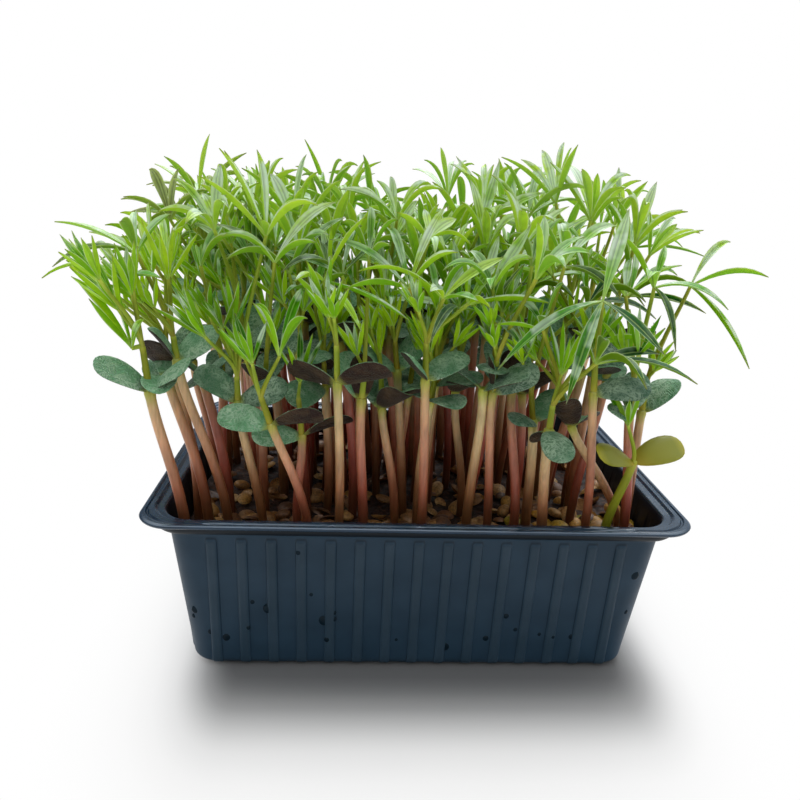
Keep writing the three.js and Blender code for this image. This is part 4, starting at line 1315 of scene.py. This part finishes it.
def makeMediumSoil():
    # damp coir and bark fines: near black brown crumbs with a few pale fibres, and wet glints
    material, tree, shader = newMaterial("damp_coir_and_bark")
    crumbs = mottle(tree, 1.6, crumbColours, detail=6.0)
    wet = mottle(tree, 4.0, [(0.35, 0.55), (0.6, 0.9)])
    lumps = mottle(tree, 1.1, detail=5.0)
    bump = addNode(tree, "Bump", {"Height": lumps, "Strength": 0.8, "Distance": 0.6 * mm})
    setInputs(shader, {"Base Color": crumbs, "Roughness": wet, "Specular IOR Level": 0.25, "Normal": bump})
    return material


def makeMedium():
    deselectAll()
    bpy.ops.mesh.primitive_grid_add(
        x_subdivisions=medium["columns"], y_subdivisions=medium["rows"], size=2, location=(0, 0, 0))
    piece = bpy.context.object
    piece.name = "medium_surface"
    for corner in piece.data.vertices:
        u, v = corner.co.x, corner.co.y
        x, y = insideOutline(u, v, tray["medium"])
        edge = max(abs(u), abs(v))
        z = mediumTop(x, y) + lumpHeight(x, y) - (medium["edgeDip"] if edge > 0.99 else 0)
        corner.co = (x * mm, y * mm, z * mm)
    bpy.ops.object.mode_set(mode="EDIT")
    bpy.ops.mesh.select_all(action="DESELECT")
    bpy.ops.mesh.select_mode(type="EDGE")
    bpy.ops.mesh.select_non_manifold()
    narrowing = tray["draft"] * (tray["medium"] - tray["baseRound"]) / tray["height"]
    for level, inwards in (
            (tray["baseRound"], narrowing), (tray["wall"] + medium["gap"], medium["footInwards"])):
        bpy.ops.mesh.extrude_region_move(TRANSFORM_OT_translate={"value": (0, 0, -0.001)})
        bpy.ops.object.mode_set(mode="OBJECT")
        for corner in piece.data.vertices:
            if corner.select:
                x, y = (place / mm for place in corner.co.xy)
                x, y = (place - inwards * math.tanh(place / medium["roundedOver"]) for place in (x, y))
                corner.co = (x * mm, y * mm, level * mm)
        bpy.ops.object.mode_set(mode="EDIT")
    bpy.ops.mesh.edge_face_add()
    finishMesh(60)
    piece.data.materials.append(makeMediumSoil())
    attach(piece, "root")
    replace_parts(piece, "growing_medium")


makeMedium()
print("medium modelled")

# Seeds and seed coats: whole lupin seeds that didn't sprout, and the coats that the seedlings shed

litter = {
    "coats": 320, "apart": 2.7, "long": (5.0, 9.0), "broad": (0.65, 0.85), "thick": (0.4, 0.6), "cup": 0.5,
    "frontShare": 0.45, "shedShare": 0.85, "wetRight": 35, "wetFront": -30,
}
seedSize = (8.5, 6.5, 5.0)
# turn in degrees and tone of the whole seeds
wholeSeeds = ((20, 0.75), (100, 0.95), (85, 0.85), (150, 0.6), (35, 0.7), (80, 0.5))


def seedTemplate(hollow):
    # a flattened round seed; a shed coat is a dented half of one
    deselectAll()
    bpy.ops.mesh.primitive_uv_sphere_add(segments=12, ring_count=8, radius=1, location=(0, 0, 0))
    ball = bpy.context.object
    for corner in ball.data.vertices:
        x, y, z = corner.co
        if hollow and z > -0.1:
            corner.co.z = -0.1 - 0.75 * litter["cup"] * (z + 0.1) * (1 - 0.3 * x)
        else:
            corner.co.z = z * (1 - 0.12 * math.exp(-((x - 0.8) ** 2 + y * y) / 0.15))
    return takeTemplate(ball)


def turned(points, spin, tilt, roll):
    turn = Matrix.Rotation(spin, 3, "Z") @ Matrix.Rotation(tilt, 3, "Y") @ Matrix.Rotation(roll, 3, "X")
    return points @ np.array(turn).T


coatColours = [
    (0.0, "#4a2c16"), (0.3, "#7b5028"), (0.6, "#a6763f"), (0.8, "#c0945a"), (0.92, "#c08a26"),  # dry to wet
    (1.0, "#a8a030"),
]


def makeSeedCoat():
    # dry lupin seed coat: thin tan parchment, darker and orange where it is wet, dull outside
    material, tree, shader = newMaterial("lupin_seed_coat")
    coat = addNode(tree, "ValToRGB", (growthParts(tree)["tone"],), stops=coatColours)
    speck = mottle(tree, 0.8, [(0.35, 0.55), (0.6, 1.05)], detail=4.0)
    coat = addNode(tree, "Mix", (1.0, coat, speck), **tint)
    dents = mottle(tree, 1.0, detail=4.0)
    bump = addNode(tree, "Bump", {"Height": dents, "Strength": 0.5, "Distance": 0.3 * mm})
    setInputs(shader, {"Base Color": coat, "Normal": bump, **livingTissue(0.5, 0.1, (1.5, 0.9, 0.4))})
    return material


seedCoat = makeSeedCoat()


def makeLitter():
    scatter = np.random.default_rng(21)
    shed, whole = seedTemplate(True), seedTemplate(False)
    pile = Growth()
    taken = []
    for attempt in range(litter["coats"] * 6):
        u, v = scatter.uniform(-0.96, 0.96, 2)
        if scatter.uniform() < litter["frontShare"]:
            v = -abs(v) ** 0.4
        x, y = insideOutline(u, max(v, -0.95), tray["medium"])
        if any(math.dist((x, y), spot) < litter["apart"] for spot in taken) or len(taken) > litter["coats"]:
            continue
        taken.append((x, y))
        length = scatter.uniform(*litter["long"])
        template = shed if scatter.uniform() < litter["shedShare"] else whole
        broad, thick = (length * scatter.uniform(*litter[way]) for way in ("broad", "thick"))
        size = np.array([length, broad, thick]) / 2
        points = turned(template["points"] * size, scatter.uniform(0, 6.3), scatter.uniform(-0.6, 0.6),
                        scatter.uniform(-0.7, 0.7) + (math.pi if scatter.uniform() < 0.6 else 0))
        z = mediumTop(x, y) + lumpHeight(x, y) + size[2] * 0.75
        wet = x > litter["wetRight"] and y < litter["wetFront"] and scatter.uniform() < 0.5
        tone = scatter.uniform(0.85, 1.0) if wet else scatter.uniform(0.0, 0.88)
        pile.add(template, points + np.array([x, y, z]), 0, tone)
    piece = pile.toObject("shed_seed_coats", [seedCoat])
    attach(piece, "root")


def makeSeed(name, box, turn, tone):
    low, high = (np.array(corner) / mm for corner in box)
    template = seedTemplate(False)
    points = turned(template["points"] * (np.array(seedSize) / 2), turn, 0.0, 0.0)
    seed = Growth()
    seed.add(template, points + (low + high) / 2, 0, tone)
    piece = seed.toObject("lupin_" + name, [seedCoat])
    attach(piece, "root")
    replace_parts(piece, name)


makeLitter()
for index, (turn, tone) in enumerate(wholeSeeds):
    name = f"seed_{index + 1:02d}"
    makeSeed(name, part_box(name), math.radians(turn), tone)
print("seeds modelled")

# Water: spray that settled on the front of the tray

# place along the front, height, and radius of each drop, mm
drops = [
    (-77, 24, 1.3), (-77.6, 21, 0.8), (-72, 15, 1.0), (-66.6, 12.6, 1.4), (-58.6, 17.3, 0.7), (-57, 28, 0.8),
    (-51.7, 25.4, 1.6), (-41, 49, 0.8), (-32, 20.5, 2.0), (-28.4, 24, 0.7), (-28.4, 21.2, 0.8),
    (-31, 12.3, 0.9), (-36.6, 31.4, 0.7), (-6, 12, 0.6), (12, 9, 1.5), (26.5, 13, 1.1), (33, 23, 1.0),
    (37, 17, 0.8), (51, 14.2, 0.6), (58, 14, 1.1), (77, 41, 1.5), (76.5, 25, 0.8), (46, 15, 0.7),
]
dropShape = {"depth": 0.3, "height": 1.2, "proud": 0.08}  # shares of the radius


def makeWater():
    # water on black plastic: darker than the dull wall, with small bright edges
    material, shader = newMaterial("water_on_black_plastic")[::2]
    setInputs(shader, {"Base Color": "#0a1e29", "Roughness": 0.12, "Specular IOR Level": 0.2, "IOR": 1.33})
    return material


def makeDrops():
    deselectAll()
    bpy.ops.mesh.primitive_uv_sphere_add(segments=14, ring_count=8, radius=1, location=(0, 0, 0))
    template = takeTemplate(bpy.context.object)
    wet = Growth()
    for x, z, radius in drops:
        face = tray["width"] / 2 - wallInset(z)
        beyond = abs(x) - (tray["length"] / 2 - wallInset(z) - tray["wallCorner"])
        if beyond > 0:
            face -= tray["wallCorner"] - math.sqrt(tray["wallCorner"] ** 2 - beyond ** 2)
        onRib = ribShare(("straight", 2, x), z) * wallRib["proud"]
        size = radius * np.array([1, dropShape["depth"], dropShape["height"]])
        place = np.array([x, -face - onRib + radius * dropShape["proud"], z])
        wet.add(template, template["points"] * size + place, 0, 0)
    piece = wet.toObject("water_drops", [makeWater()])
    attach(piece, "root")


makeDrops()
print("drops modelled")

addCamera()
addLight()
addFloor()
bpy.context.scene.view_settings.view_transform = "Standard"
